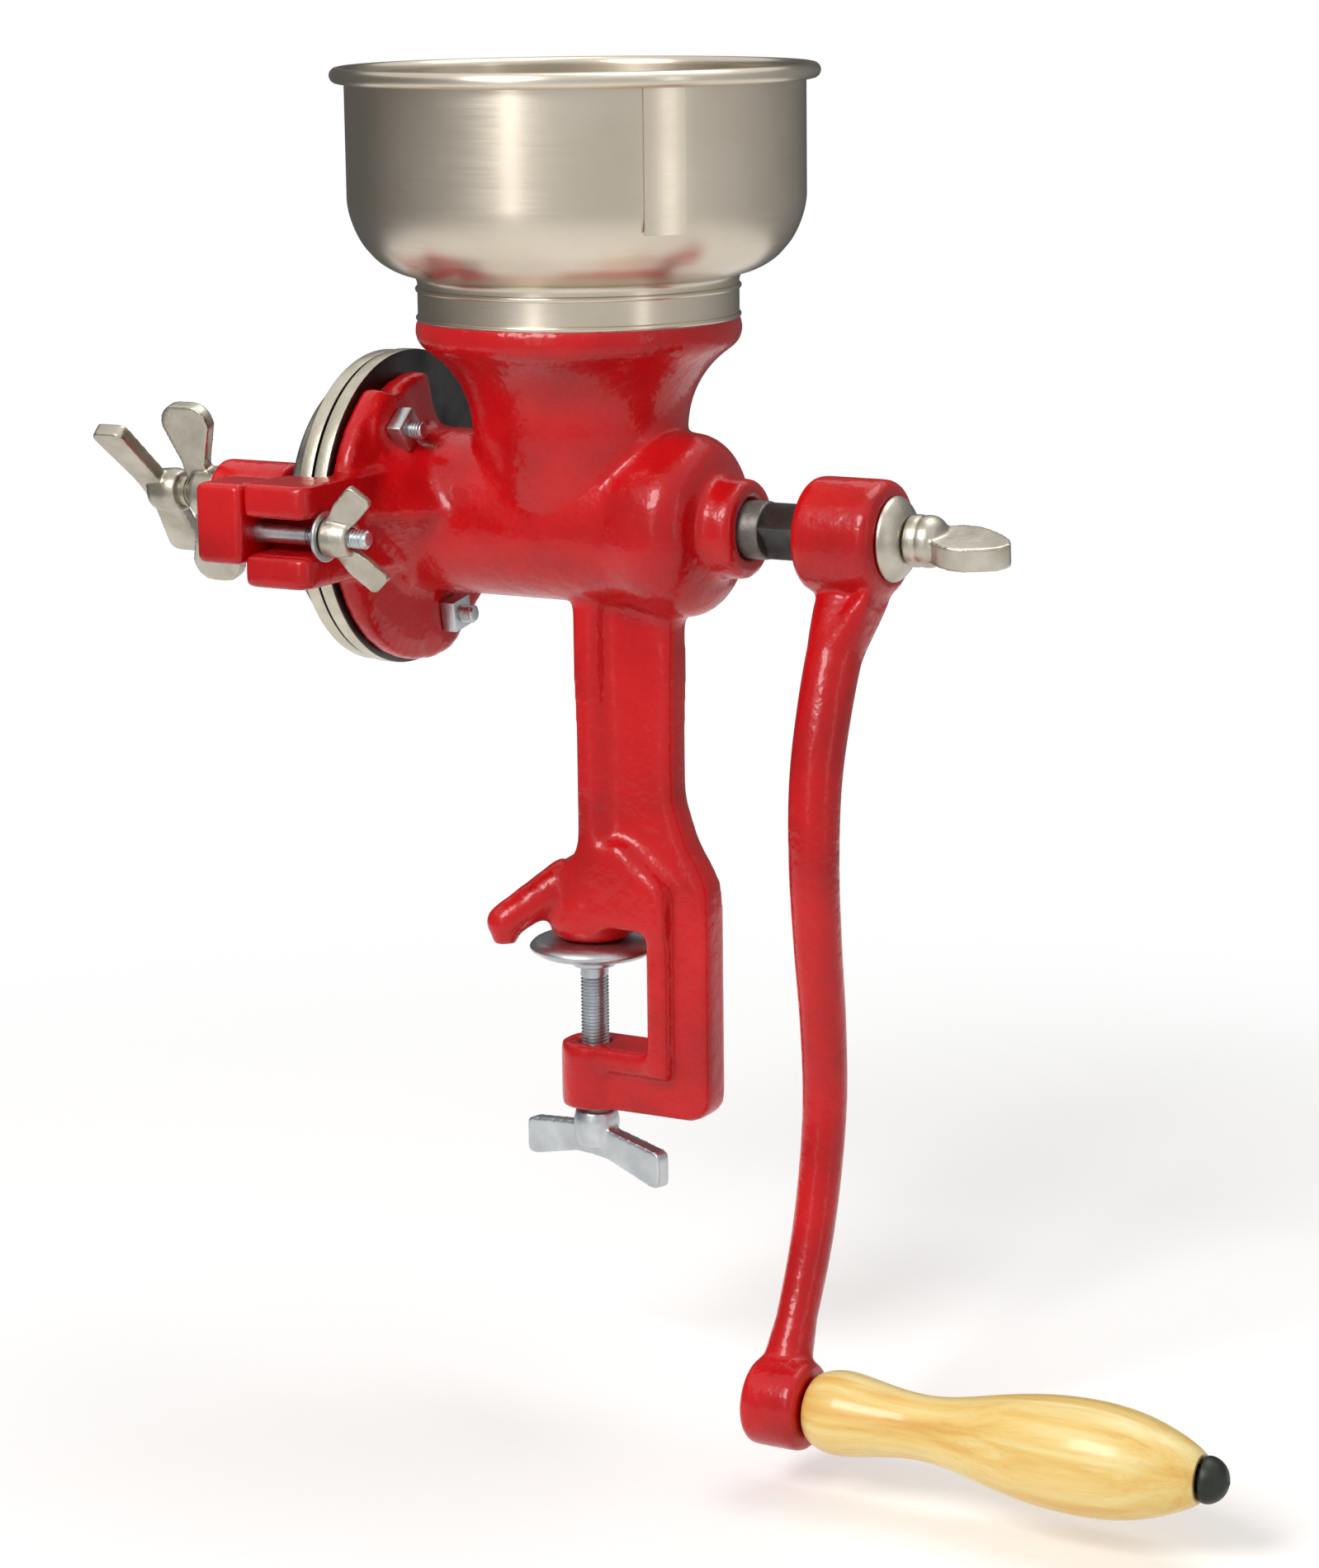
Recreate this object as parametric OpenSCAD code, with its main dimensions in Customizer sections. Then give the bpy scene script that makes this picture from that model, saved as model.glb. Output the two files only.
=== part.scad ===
// Hand-cranked corn grinder that clamps to a table edge.
// X runs along the grinding shaft with the crank at +X and the grinding plates at -X, and Z is up.
// The origin is on the clamp screw's axis, in the plane of the table top that the jaw's feet stand on.

/* [Body] */
// Height of the grinding shaft above the table top
axis_height = 134; // [128:1:142]
// Throat axis measured from the clamp screw's axis
throat_x = -2; // [-5:0.5:2]
// Outside diameter of the barrel
barrel_d = 52; // [50:1:56]
// Bore of the barrel around the worm
barrel_bore_d = 38; // [36:0.5:40]
// Diameter of the rear housing
housing_d = 57; // [54:1:62]
// Diameter of the rear bearing boss
bearing_boss_d = 31; // [29:1:36]
// Distance from the throat axis to the end of the bearing boss
bearing_end = 60.5; // [58:0.5:64]

/* [Throat] */
// Outside diameter of the lip that carries the hopper
lip_d = 101; // [100.5:0.5:106]
// Height of the lip above the shaft
lip_height = 62; // [58:1:68]
// Thickness of the lip's edge
lip_t = 6; // [4:0.5:8]
// Height of the collar that locates the hopper
collar_h = 9; // [6:0.5:11]
// Waist diameter of the throat
waist_d = 67; // [63:1:71]
// Radius of the flare under the lip
flare_r = 30; // [28:1:34]
// Wall thickness of the locating collar
collar_wall = 4; // [3:0.5:6]
// Width of the funnel where it meets the worm
funnel_d = 34; // [30:1:35]

/* [Hopper] */
// Diameter over the rolled rim
hopper_rim_d = 150; // [147:1:156]
// Outside diameter of the hopper wall
hopper_wall_d = 141; // [138:1:143]
// Height of the rim's middle above the lip
hopper_h = 75; // [68:1:84]
// Height of the neck below the bowl
hopper_neck_h = 14; // [13:0.5:18]
// Radius of the bowl's lower corner
bowl_r = 24; // [20:0.5:26]
// Thickness of the sheet
sheet_t = 0.9; // [0.6:0.1:1.2]
// Width of the lapped seam
seam_w = 13; // [9:1:17]
// Turn of the seam about the throat axis
seam_turn = -38; // [-90:1:0]

/* [Plates] */
// Diameter of the stationary grinding plate
plate_d = 100; // [97:1:104]
// How much smaller the rotating plate is
plate_step = 1; // [0:0.5:3]
// Thickness of each grinding plate
plate_t = 5; // [4:0.5:6]
// Running gap between the plates
plate_gap = 0.8; // [0.5:0.1:1.2]
// Number of grooves cut in each plate
groove_count = 18; // [12:1:24]
// Width of a groove
groove_w = 2.4; // [1.5:0.1:3]
// Depth of a groove
groove_depth = 1.2; // [0.6:0.1:1.8]
// Diameter of the plate carrier
carrier_d = 84; // [80:1:90]
// Thickness of the plate carrier
carrier_t = 8; // [7:0.5:10]
// Circle radius of the bolts that hold the stationary plate
plate_bolt_r = 35; // [34:0.5:37]
// Turn of the first of those bolts about the shaft
plate_bolt_turn = 128; // [120:1:136]
// Turn from the first of those bolts to the second
plate_bolt_spread = 152; // [145:1:160]
// Circle radius of the screws that hold the rotating plate
carrier_screw_r = 30; // [26:0.5:33]

/* [Front flange and bridge] */
// Distance from the throat axis to the flange's back face
flange_back = 55; // [53:0.5:58]
// Thickness of the flange
flange_t = 8; // [6:0.5:10]
// Diameter of the flange
flange_d = 87; // [82:1:90]
// Distance of the bridge bolts from the shaft
bridge_bolt_y = 68; // [66:0.5:72]
// Height of the ears
ear_h = 32; // [28:1:36]
// Height of the ears' slots
slot_h = 11; // [9:0.5:13]
// Distance from an ear's front face to its rear face
ear_depth = 24; // [21:0.5:28]
// Height of the bridge
bridge_h = 27; // [24:1:30]
// Height of the bridge's arms between its ends and its boss
bridge_arm_h = 21; // [18:1:24]
// How far the bridge bows ahead of the ears
bridge_bow = 60; // [58.5:0.5:65]
// Length of the bridge's screw boss
bridge_boss_len = 28; // [24:1:32]
// Diameter of the bridge's screw boss
bridge_boss_d = 26; // [24:1:30]

/* [Screws] */
// Diameter of the adjusting screw and the clamp screw
big_screw_d = 10; // [9:0.5:10]
// Diameter of the bridge bolts
bridge_bolt_d = 6; // [5:0.5:7]
// Diameter of the plate bolts and carrier screws
plate_bolt_d = 5.8; // [5:0.2:6]
// Diameter of the crank bolt
crank_bolt_d = 8; // [7:0.5:8.5]
// Span over the wings of the two big screws
big_wing_span = 62; // [54:1:66]
// Width of those wings at the tips
big_wing_w = 12; // [10:0.5:13]
// Thickness of those wings
big_wing_t = 5; // [4:0.5:6]
// Span over the wings of the lock nut
lock_wing_span = 58; // [52:1:62]
// Span over the wings of a bridge nut
nut_wing_span = 36; // [32:1:40]
// Span over the wings of the crank bolt
bolt_wing_span = 34; // [30:1:38]
// Diameter of the thrust ball
ball_d = 9; // [8:0.5:10]

/* [Shaft and crank] */
// Diameter of the shaft's journal
journal_d = 18; // [18:0.5:20]
// Side of the shaft's square end
square_w = 12.7; // [12:0.1:12.7]
// Outside diameter of the worm's flight
worm_d = 35; // [32:0.5:35]
// Root diameter of the worm
worm_root_d = 20; // [19:0.5:22]
// Lead of the worm
worm_lead = 34; // [28:1:44]
// Shaft left bare between the bearing boss and the crank
crank_gap = 20.5; // [17:0.5:24]
// Diameter of the crank's hub
hub_d = 35.5; // [33:0.5:40]
// Length of the crank's hub
hub_len = 27; // [25:0.5:31]
// Radius of the crank from the shaft to the handle
crank_r = 263; // [240:1:280]
// Turn of the crank at rest, from straight down
crank_rest = -10.5; // [-30:0.5:30]
// Thickness of the arm at the hub
arm_d_top = 20; // [18:0.5:22]
// Thickness of the arm at the handle
arm_d_end = 15; // [13:0.5:17]
// Diameter of the handle's boss
handle_boss_d = 27.5; // [24:0.5:30]
// Length of the handle's boss
handle_boss_len = 18.5; // [17:0.5:22]

/* [Handle] */
// Length of the wooden grip
grip_len = 127; // [110:1:140]
// Diameter at the grip's collar
grip_collar_d = 26.6; // [24:0.2:28]
// Diameter at the grip's waist
grip_waist_d = 21.5; // [18:0.5:23]
// Diameter at the grip's bulge
grip_bulge_d = 35.2; // [31:0.2:38]
// Diameter at the grip's outer end
grip_end_d = 16; // [15.5:0.5:19]
// Diameter of the spindle inside the grip
spindle_d = 8; // [7:0.5:9]
// Diameter of the spindle's domed head
spindle_head_d = 15; // [13:0.5:15.5]

/* [Leg and clamp] */
// Distance from the throat axis to the leg's front face
leg_x = 1.5; // [0:0.5:4]
// Width of the leg along the shaft
leg_w = 33; // [30:1:36]
// Thickness of the leg's front rib
rib_t = 10; // [8:0.5:12]
// Breadth of the leg's front rib
rib_w = 24; // [22:1:28]
// Thickness of the leg's web
web_t = 13; // [11:0.5:15]
// Distance from the clamp screw to the clamp's back
clamp_depth = 48.5; // [46:0.5:56]
// Width of the clamp's back bar along the shaft
back_w = 19.5; // [17:0.5:20.5]
// Distance from the table top to the top of the screw boss
clamp_opening = 33.5; // [32:0.5:40]
// Height of the screw boss
clamp_boss_h = 21.5; // [18:0.5:25]
// Diameter of the screw boss
clamp_boss_d = 22; // [20:0.5:25]
// Reach of the jaw's feet from the clamp screw
foot_reach = 29; // [28:0.5:33]
// Diameter of a foot's face
foot_d = 8; // [7:0.5:10]
// Diameter of the anvil's face over the pad
anvil_d = 17; // [14:0.5:20]
// Diameter of the clamp pad
pad_d = 41; // [37:1:43]

/* [Clearances] */
// Running clearance of round fits, on the radius
run_gap = 0.06; // [0.04:0.01:0.1]
// Clearance of threads and loose holes, on the radius
loose_gap = 0.15; // [0.1:0.05:0.25]
// Distance between faces of pieces that move apart
face_gap = 0.3; // [0.2:0.05:0.4]

/* [Hidden] */
$fn = 64;
hull_fn = 32;
enamel_red = "#c91f1f";
tinned = "#c9c5b8";
nickel = "#b9b3a4";
zinc = "#a9adb0";
dark_steel = "#3b3b3c";
bare_iron = "#77746f";
varnished_wood = "#e3b867";
black = "#2a2a29";

// Places along the shaft, measured from the throat axis
flange_front = -flange_back - flange_t;
nut_seat = 1.2 - flange_back;
fixed_front = flange_front - plate_t;
turning_back = fixed_front - plate_gap;
turning_front = turning_back - plate_t;
carrier_front = turning_front - carrier_t;
carrier_hub_proud = 4;
carrier_hub_front = carrier_front - carrier_hub_proud;
shaft_front = carrier_hub_front - 1;
ear_lead = 12;
ear_front = flange_front - ear_lead;
ear_rear = ear_front + ear_depth;
bridge_back = ear_front;
bridge_end_t = 21;
bridge_front = bridge_back - bridge_bow;
boss_back = bridge_front + bridge_boss_len;
housing_start = 31;
bearing_proud = 11.5;
housing_end = bearing_end - bearing_proud;
journal_end = bearing_end + 6;
worm_end = housing_start + 5;
bore_end = worm_end + 3;
hub_start = bearing_end + crank_gap;
hub_end = hub_start + hub_len;
arm_share = 0.45;
arm_x = hub_start + hub_len * arm_share;
boss_lead = 7.5;
boss_start = arm_x - boss_lead;
boss_end = boss_start + handle_boss_len;
grip_start = boss_end + face_gap;
grip_end = grip_start + grip_len;

// Heights in the leg and clamp, measured from the shaft
table_z = -axis_height;
flare_top = table_z + 47;
flare_bottom = table_z + 22;
boss_top_z = table_z - clamp_opening;
boss_bottom_z = boss_top_z - clamp_boss_h;
clamp_x = -throat_x;
back_inset = 4;
back_x = clamp_x + clamp_depth - back_inset;
bar_x = back_x - back_w;
bar_rib_t = 7.5;

// Fasteners
halves = [0, 180];
wing_corner = 1.6;
wing_boss_d = 15;
wing_boss_h = 13;
big_wing_root_w = 10;
big_wing_root_y = 4;
big_wing_back = 9.5;
big_wing_sweep = 4.5;
adjust_wing_turn = 45;
clamp_wing_turn = -107;
adjust_head_gap = 6.5;
lock_boss_d = 18;
lock_wing_root_w = 9;
lock_wing_w = 19;
lock_wing_t = 4.5;
lock_wing_back = 3.5;
lock_wing_lean = 2;
lock_corner = 6;
lock_turns = [108, 288];
nut_boss_d = 12.6;
nut_boss_h = 9;
nut_wing_root_w = 6;
nut_wing_w = 8;
nut_wing_t = 2.6;
nut_wing_sweep = 5;
near_nut_turn = 100;
far_nut_turn = 105;
bolt_boss_h = 9;
bolt_wing_root_w = 12;
bolt_wing_root_y = 3;
bolt_wing_w = 17;
bolt_wing_t = 9;
bolt_wing_sweep = 7;
bolt_corner = 5;
bolt_turn = -20;
bolt_depth = 22;
bolt_hole_depth = 24;
nut_across = 10;
nut_corners = 11.5;
nut_t = 5.5;
pad_t = 5;
pad_collar_h = 4;
pad_top = -face_gap;
washer_t = 1.5;
dome_t = 6;
dome_d = 26;
lock_t = 10.5;
ball_seat = 0.9;
ball_x = shaft_front - ball_d / 2 + ball_seat;
adjust_tip = ball_x - ball_d / 2 + ball_seat;
carrier_hub_d = 30;
plate_bolt_turns = [plate_bolt_turn, plate_bolt_turn + plate_bolt_spread];
carrier_turns = [0, 180];
over = 1;

// Places its children in the mill's own frame, with the shaft as X and the throat axis as Z
module in_mill() translate([throat_x, 0, axis_height]) children();

// Turns its children with the crank
module turned() rotate([crank_rest, 0, 0]) children();

// A round bar along X
module rod(x0, x1, d) translate([x0, 0, 0]) rotate([0, 90, 0]) cylinder(h = x1 - x0, d = d);

// A turned shape about X, drawn as radius across and place along the axis
module lathe() rotate([0, 90, 0]) rotate_extrude() children();

// A rectangle from one corner to the other with rounded corners
module rounded_rect(low, high, r) {
    translate([low.x + r, low.y]) square([high.x - low.x - 2 * r, high.y - low.y]);
    translate([low.x, low.y + r]) square([high.x - low.x, high.y - low.y - 2 * r]);
    for (x = [low.x + r, high.x - r], y = [low.y + r, high.y - r]) translate([x, y]) circle(r);
}

// Places its children at the listed turns of a circle about the shaft
module on_circle(r, turns) for (turn = turns) rotate([turn, 0, 0]) translate([0, r, 0]) children();

// Places its children on both bridge bolts
module on_bridge_bolts() for (side = [-1, 1]) translate([0, side * bridge_bolt_y, 0]) children();

// Body casting

module throat_shell() rotate_extrude() {
    flare_top_z = lip_height - lip_t;
    waist_z = flare_top_z - flare_r + 2;
    foot_z = -8;
    foot_r = barrel_d / 2 - 4;
    translate([0, flare_top_z]) square([lip_d / 2, lip_t]);
    translate([0, lip_height - 1]) square([collar_r(), collar_h + 1]);
    difference() {
        translate([0, waist_z]) square([lip_d / 2 - 1, flare_top_z - waist_z + 1]);
        translate([waist_d / 2 + flare_r, waist_z]) circle(flare_r);
    }
    polygon([[0, waist_z], [waist_d / 2, waist_z], [foot_r, foot_z], [0, foot_z]]);
}

function neck_r() = lip_d / 2 - 0.9;
function collar_r() = neck_r() - sheet_t - face_gap;

module rear_housing() {
    round_share = 0.42;
    round_r = (housing_d - bearing_boss_d) * round_share;
    edge_r = 2.5;
    lathe() {
        translate([0, housing_start]) square([housing_d / 2, housing_end - housing_start - round_r]);
        translate([0, housing_start]) square([housing_d / 2 - round_r, housing_end - housing_start]);
        translate([housing_d / 2 - round_r, housing_end - round_r]) circle(round_r);
        translate([0, housing_start]) square([bearing_boss_d / 2, bearing_end - housing_start - edge_r]);
        translate([0, housing_start]) square([bearing_boss_d / 2 - edge_r, bearing_end - housing_start]);
        translate([bearing_boss_d / 2 - edge_r, bearing_end - edge_r]) circle(edge_r);
    }
}

module front_flange() {
    lug_d = 23;
    notch_d = 58;
    notch_at = [0, 30, 44];
    difference() {
        rod(flange_front, -flange_back, flange_d);
        translate(notch_at) rod(flange_front - over, over - flange_back, notch_d);
    }
    on_circle(plate_bolt_r, plate_bolt_turns) rod(flange_front + over, nut_seat, lug_d);
}

module ear(side) {
    plate_clear = 3;
    inner_y = plate_d / 2 + plate_clear;
    outer_y = bridge_bolt_y + 10;
    slot_y = bridge_bolt_y - 7;
    arm_front = flange_front + 1.5;
    edge_r = 4;
    mirror([0, side < 0 ? 1 : 0, 0]) difference() {
        translate([0, 0, -ear_h / 2]) linear_extrude(ear_h) {
            translate([arm_front, barrel_d / 4]) square([ear_rear - arm_front, bridge_bolt_y - barrel_d / 4]);
            rounded_rect([ear_front, inner_y], [ear_rear, outer_y], edge_r);
        }
        translate([ear_front - 1, slot_y, -slot_h / 2]) cube([ear_depth + 2, outer_y - slot_y + 1, slot_h]);
    }
}

module leg() {
    web_start = leg_x + rib_t / 2;
    edge_r = 3.5;
    translate([0, 0, flare_bottom]) linear_extrude(-flare_bottom - barrel_d / 4) {
        rounded_rect([leg_x, -rib_w / 2], [leg_x + rib_t, rib_w / 2], edge_r);
        rounded_rect([web_start, -web_t / 2], [leg_x + leg_w, web_t / 2], edge_r);
    }
}

module clamp_side() rotate([90, 0, 0]) children();

module clamp_frame() {
    corner_r = 8;
    flare_middle = [(leg_x + leg_w + back_x) / 2 - 1.8, (flare_top + flare_bottom) / 2];
    jaw_bottom = table_z + 6;
    jaw_top = table_z + 34.5;
    jaw_front = clamp_x - 9;
    jaw_w = rib_w + 2;
    // Web of the C, with the flare from the leg to the back bar
    clamp_side() translate([0, 0, -web_t / 2]) linear_extrude(web_t) {
        polygon([[leg_x + leg_w - 6, flare_top], [leg_x + leg_w, flare_top], flare_middle, [back_x, flare_bottom],
            [back_x, jaw_bottom], [leg_x + rib_t, jaw_bottom], [leg_x + rib_t, flare_bottom]]);
        translate([bar_x, boss_bottom_z + corner_r]) square([back_w, jaw_bottom - boss_bottom_z - corner_r + 1]);
        translate([clamp_x, boss_bottom_z]) square([back_x - corner_r - clamp_x, clamp_boss_h]);
        translate([back_x - corner_r, boss_bottom_z + corner_r]) circle(corner_r);
    }
    // Rib along the inside of the C
    clamp_side() translate([0, 0, -rib_w / 2]) linear_extrude(rib_w)
        translate([bar_x, boss_top_z - bar_rib_t]) square([bar_rib_t, jaw_bottom - boss_top_z + bar_rib_t + 1]);
    arm_rib_w = clamp_boss_d - 1;
    clamp_side() translate([0, 0, -arm_rib_w / 2]) linear_extrude(arm_rib_w)
        translate([clamp_x, boss_top_z - bar_rib_t]) square([bar_x + bar_rib_t - clamp_x, bar_rib_t]);
    // Upper jaw, with its top sloping down ahead of the leg
    clamp_side() translate([0, 0, -jaw_w / 2]) linear_extrude(jaw_w)
        polygon([[leg_x, jaw_top - 5], [leg_x + rib_t + 6, jaw_top], [bar_x + bar_rib_t, jaw_top - 14],
            [bar_x + bar_rib_t, jaw_bottom], [jaw_front, jaw_bottom], [jaw_front, jaw_bottom + 11.5]]);
    translate([clamp_x, 0, 0]) {
        anvil();
        for (side = [-1, 1]) rotate([0, 0, 180 + side * 45]) prong();
        translate([0, 0, boss_bottom_z]) cylinder(h = clamp_boss_h, d = clamp_boss_d);
    }
}

// Knob over the clamp pad
module anvil() {
    top_r = 13.5;
    height = 24;
    rotate_extrude() polygon([[0, table_z], [anvil_d / 2, table_z], [anvil_d / 2 + 2.5, table_z + 4],
        [top_r, table_z + 12], [top_r, table_z + height], [0, table_z + height]]);
}

// A finger of the upper jaw that slopes down to its foot
module prong() {
    root = [6, table_z + 21.5];
    tip_r = foot_d / 2 + 2;
    tip = [foot_reach, table_z + tip_r + 1];
    run = tip - root;
    translate([root.x, 0, root.y]) rotate([0, 90 - atan2(run.y, run.x), 0])
        cylinder(h = norm(run), r1 = tip_r + 1.4, r2 = tip_r - 0.1);
    translate([tip.x, 0, tip.y]) sphere(tip_r);
    translate([tip.x, 0, table_z]) cylinder(h = tip_r, d = foot_d);
}

module body_bores() {
    funnel_top = lip_height + collar_h + 1;
    funnel_bottom = barrel_bore_d / 4;
    rotate_extrude() polygon([[0, funnel_bottom], [funnel_d / 2, funnel_bottom],
        [collar_r() - collar_wall, funnel_top], [0, funnel_top]]);
    rod(flange_front - 1, bore_end, barrel_bore_d);
    rod(bore_end - 1, bearing_end + 1, journal_d + 2 * run_gap);
    on_circle(plate_bolt_r, plate_bolt_turns) rod(flange_front - over, nut_seat + over, plate_bolt_d + 2 * loose_gap);
    translate([clamp_x, 0, boss_bottom_z - 1]) cylinder(h = clamp_boss_h + 2, d = big_screw_d + 2 * loose_gap);
}

module mill_body() color(enamel_red) in_mill() difference() {
    union() {
        rod(-flange_back - 1, housing_start + 2, barrel_d);
        throat_shell();
        rear_housing();
        front_flange();
        for (side = [-1, 1]) ear(side);
        leg();
        clamp_frame();
    }
    body_bores();
}

// Hopper

// Filled outline of the hopper, drawn inwards by the given amount
module hopper_outline(inset) {
    bowl_z = lip_height + hopper_neck_h;
    rim_z = lip_height + hopper_h;
    arc = [hopper_wall_d / 2 - bowl_r, bowl_z + bowl_r];
    square_top = rim_z + inset;
    translate([0, lip_height + face_gap - inset]) square([neck_r() - inset, hopper_neck_h + 2 * inset]);
    translate([0, bowl_z + inset]) square([arc.x, square_top - bowl_z - inset]);
    translate([0, arc.y]) square([hopper_wall_d / 2 - inset, square_top - arc.y]);
    translate(arc) circle(bowl_r - inset);
}

module hopper() color(tinned) in_mill() {
    rim_z = lip_height + hopper_h;
    bead_r = (hopper_rim_d - hopper_wall_d) / 4 + 0.2;
    neck_bead_r = 0.9;
    seam_t = 0.6;
    seam_z = lip_height + hopper_neck_h + bowl_r * 0.62;
    wall_r = hopper_wall_d / 2;
    rotate_extrude() {
        difference() {
            hopper_outline(0);
            hopper_outline(sheet_t);
        }
        translate([hopper_rim_d / 2 - bead_r, rim_z]) circle(bead_r);
        translate([neck_r() - 0.2, lip_height + hopper_neck_h - 4]) circle(neck_bead_r);
    }
    // Lapped seam of the wall
    rotate([0, 0, seam_turn]) intersection() {
        rotate_extrude() translate([wall_r - sheet_t / 2, seam_z]) square([sheet_t / 2 + seam_t, rim_z - seam_z - bead_r]);
        translate([wall_r - 10, -seam_w / 2, seam_z - 1]) cube([20, seam_w, rim_z]);
    }
}

// Shaft, plates and bridge

module worm_flight() {
    start = flange_front + 2;
    length = worm_end - start;
    root_r = worm_root_d / 2;
    blade_r = worm_d / 2;
    blade_turn = 40;
    points = 4;
    translate([start, 0, 0]) rotate([0, 90, 0]) linear_extrude(length, twist = -360 * length / worm_lead, slices = 60, $fn = 16)
        polygon([for (k = [0:points]) let (a = blade_turn * (k / points - 0.5)) blade_r * [cos(a), sin(a)],
            for (k = [0:points * 2]) let (a = blade_turn + (360 - blade_turn * 2) * k / (points * 2))
                (root_r - 0.4) * [cos(a), sin(a)]]);
}

module worm_shaft() color(dark_steel) in_mill() turned() difference() {
    union() {
        worm_flight();
        rod(flange_front + 1, worm_end, worm_root_d);
        rod(worm_end - 2, bore_end - face_gap, worm_d - 2);
        rod(worm_end, journal_end, journal_d);
        rod(shaft_front, flange_front + 2, shaft_nose_d());
        translate([bearing_end, 0, 0]) rotate([45, 0, 0])
            translate([0, -square_w / 2, -square_w / 2]) cube([hub_end - over - bearing_end, square_w, square_w]);
    }
    translate([ball_x, 0, 0]) sphere(d = ball_d + 2 * face_gap);
    rod(hub_end - bolt_hole_depth, hub_end + over, crank_bolt_d + 2 * loose_gap);
}

function shaft_nose_d() = 16;

// Radial grooves of a grinding face, cut from x0 to x1
module grooves(x0, x1) {
    inner = plate_d * 0.24;
    outer = plate_d / 2 - 4;
    slant = 12;
    for (k = [0:groove_count - 1]) rotate([k * 360 / groove_count, 0, 0]) translate([x0, inner, 0])
        rotate([slant, 0, 0]) translate([0, 0, -groove_w / 2]) cube([x1 - x0, outer - inner, groove_w]);
}

// A countersunk screw along X with its head at x0 and its end at x1
module countersunk(x0, x1, d) {
    head_h = d * 0.5;
    rod(x0 + head_h - 0.01, x1, d);
    translate([x0, 0, 0]) rotate([0, 90, 0]) cylinder(h = head_h, d1 = 2 * d, d2 = d);
}

module stationary_plate() color(tinned) in_mill() difference() {
    rod(fixed_front, flange_front, plate_d);
    rod(fixed_front - 1, flange_front + 1, barrel_bore_d + 1);
    grooves(fixed_front - 1, fixed_front + groove_depth);
    on_circle(plate_bolt_r, plate_bolt_turns)
        countersunk(fixed_front - 0.01, flange_front + 1, plate_bolt_d + 2 * loose_gap);
}

module stationary_plate_bolts() color(zinc) in_mill() on_circle(plate_bolt_r, plate_bolt_turns)
    countersunk(fixed_front + 0.2, nut_seat + nut_t + 4.5, plate_bolt_d);

module stationary_plate_nuts() color(zinc) in_mill() on_circle(plate_bolt_r, plate_bolt_turns) difference() {
    translate([nut_seat, -nut_across / 2, -nut_across / 2]) cube([nut_t, nut_across, nut_across]);
    rod(nut_seat - over, nut_seat + nut_t + over, plate_bolt_d + 2 * run_gap);
}

module rotating_plate() color(tinned) in_mill() turned() difference() {
    rod(turning_front, turning_back, plate_d - plate_step);
    rod(turning_front - 1, turning_back + 1, shaft_nose_d() + 2 * loose_gap);
    grooves(turning_back - groove_depth, turning_back + 1);
    on_circle(carrier_screw_r, carrier_turns) mirror([1, 0, 0])
        countersunk(-turning_back - 0.01, 1 - turning_front, plate_bolt_d + 2 * loose_gap);
}

module plate_carrier() color(bare_iron) in_mill() turned() {
    rim_w = 6;
    floor_t = carrier_t - 3;
    difference() {
        union() {
            rod(carrier_front, turning_front, carrier_d);
            rod(carrier_hub_front, turning_front, carrier_hub_d);
        }
        difference() {
            rod(carrier_front - 1, turning_front - floor_t, carrier_d - 2 * rim_w);
            rod(carrier_front - 2, turning_front, carrier_hub_d);
            on_circle(carrier_screw_r, carrier_turns) rod(carrier_front - 2, turning_front, nut_across + 6);
        }
        rod(carrier_hub_front - 1, turning_front + 1, shaft_nose_d() + 2 * run_gap);
        on_circle(carrier_screw_r, carrier_turns) rod(carrier_front - 1, turning_front + 1, plate_bolt_d + 2 * loose_gap);
    }
}

module carrier_screws() color(zinc) in_mill() turned() on_circle(carrier_screw_r, carrier_turns) mirror([1, 0, 0])
    countersunk(0.2 - turning_back, nut_t + 1.5 - carrier_front, plate_bolt_d);

module carrier_nuts() color(zinc) in_mill() turned() on_circle(carrier_screw_r, carrier_turns) difference() {
    translate([carrier_front - nut_t, 0, 0]) rotate([0, 90, 0]) cylinder(h = nut_t, d = nut_corners, $fn = 6);
    rod(carrier_front - nut_t - 1, carrier_front + 1, plate_bolt_d + 2 * run_gap);
}

module bridge() color(enamel_red) in_mill() difference() {
    outer_y = bridge_bolt_y + 10;
    inner_y = bridge_bolt_y - 12;
    end_front = bridge_back - bridge_end_t;
    shoulder = bridge_front + 6;
    arm_back = bridge_back - 9;
    edge_r = 3;
    boss_r = bridge_boss_d / 2;
    union() {
        for (side = [0, 1]) mirror([0, side, 0]) {
            translate([0, 0, -bridge_arm_h / 2]) linear_extrude(bridge_arm_h)
                polygon([[shoulder, -over], [shoulder, boss_r - 2], [end_front - 1, inner_y + 3], [end_front + 1, bridge_bolt_y],
                    [arm_back, bridge_bolt_y], [arm_back, inner_y], [boss_back, boss_r], [boss_back, -over]]);
            translate([0, 0, -bridge_h / 2]) linear_extrude(bridge_h)
                rounded_rect([end_front, inner_y], [bridge_back, outer_y], edge_r);
        }
        rod(bridge_front, boss_back, bridge_boss_d);
    }
    rod(bridge_front - 1, boss_back + 1, big_screw_d + 2 * loose_gap);
    on_bridge_bolts() rod(end_front - 1, bridge_back + 1, bridge_bolt_d + 2 * loose_gap);
}

module bridge_bolts() color(zinc) in_mill() on_bridge_bolts() {
    head_t = 4.5;
    head_across = 10;
    end_front = bridge_back - bridge_end_t;
    rod(end_front - 1, ear_rear + washer_t + 15, bridge_bolt_d);
    translate([end_front - head_t, -head_across / 2, -head_across / 2]) cube([head_t, head_across, head_across]);
}

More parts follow.
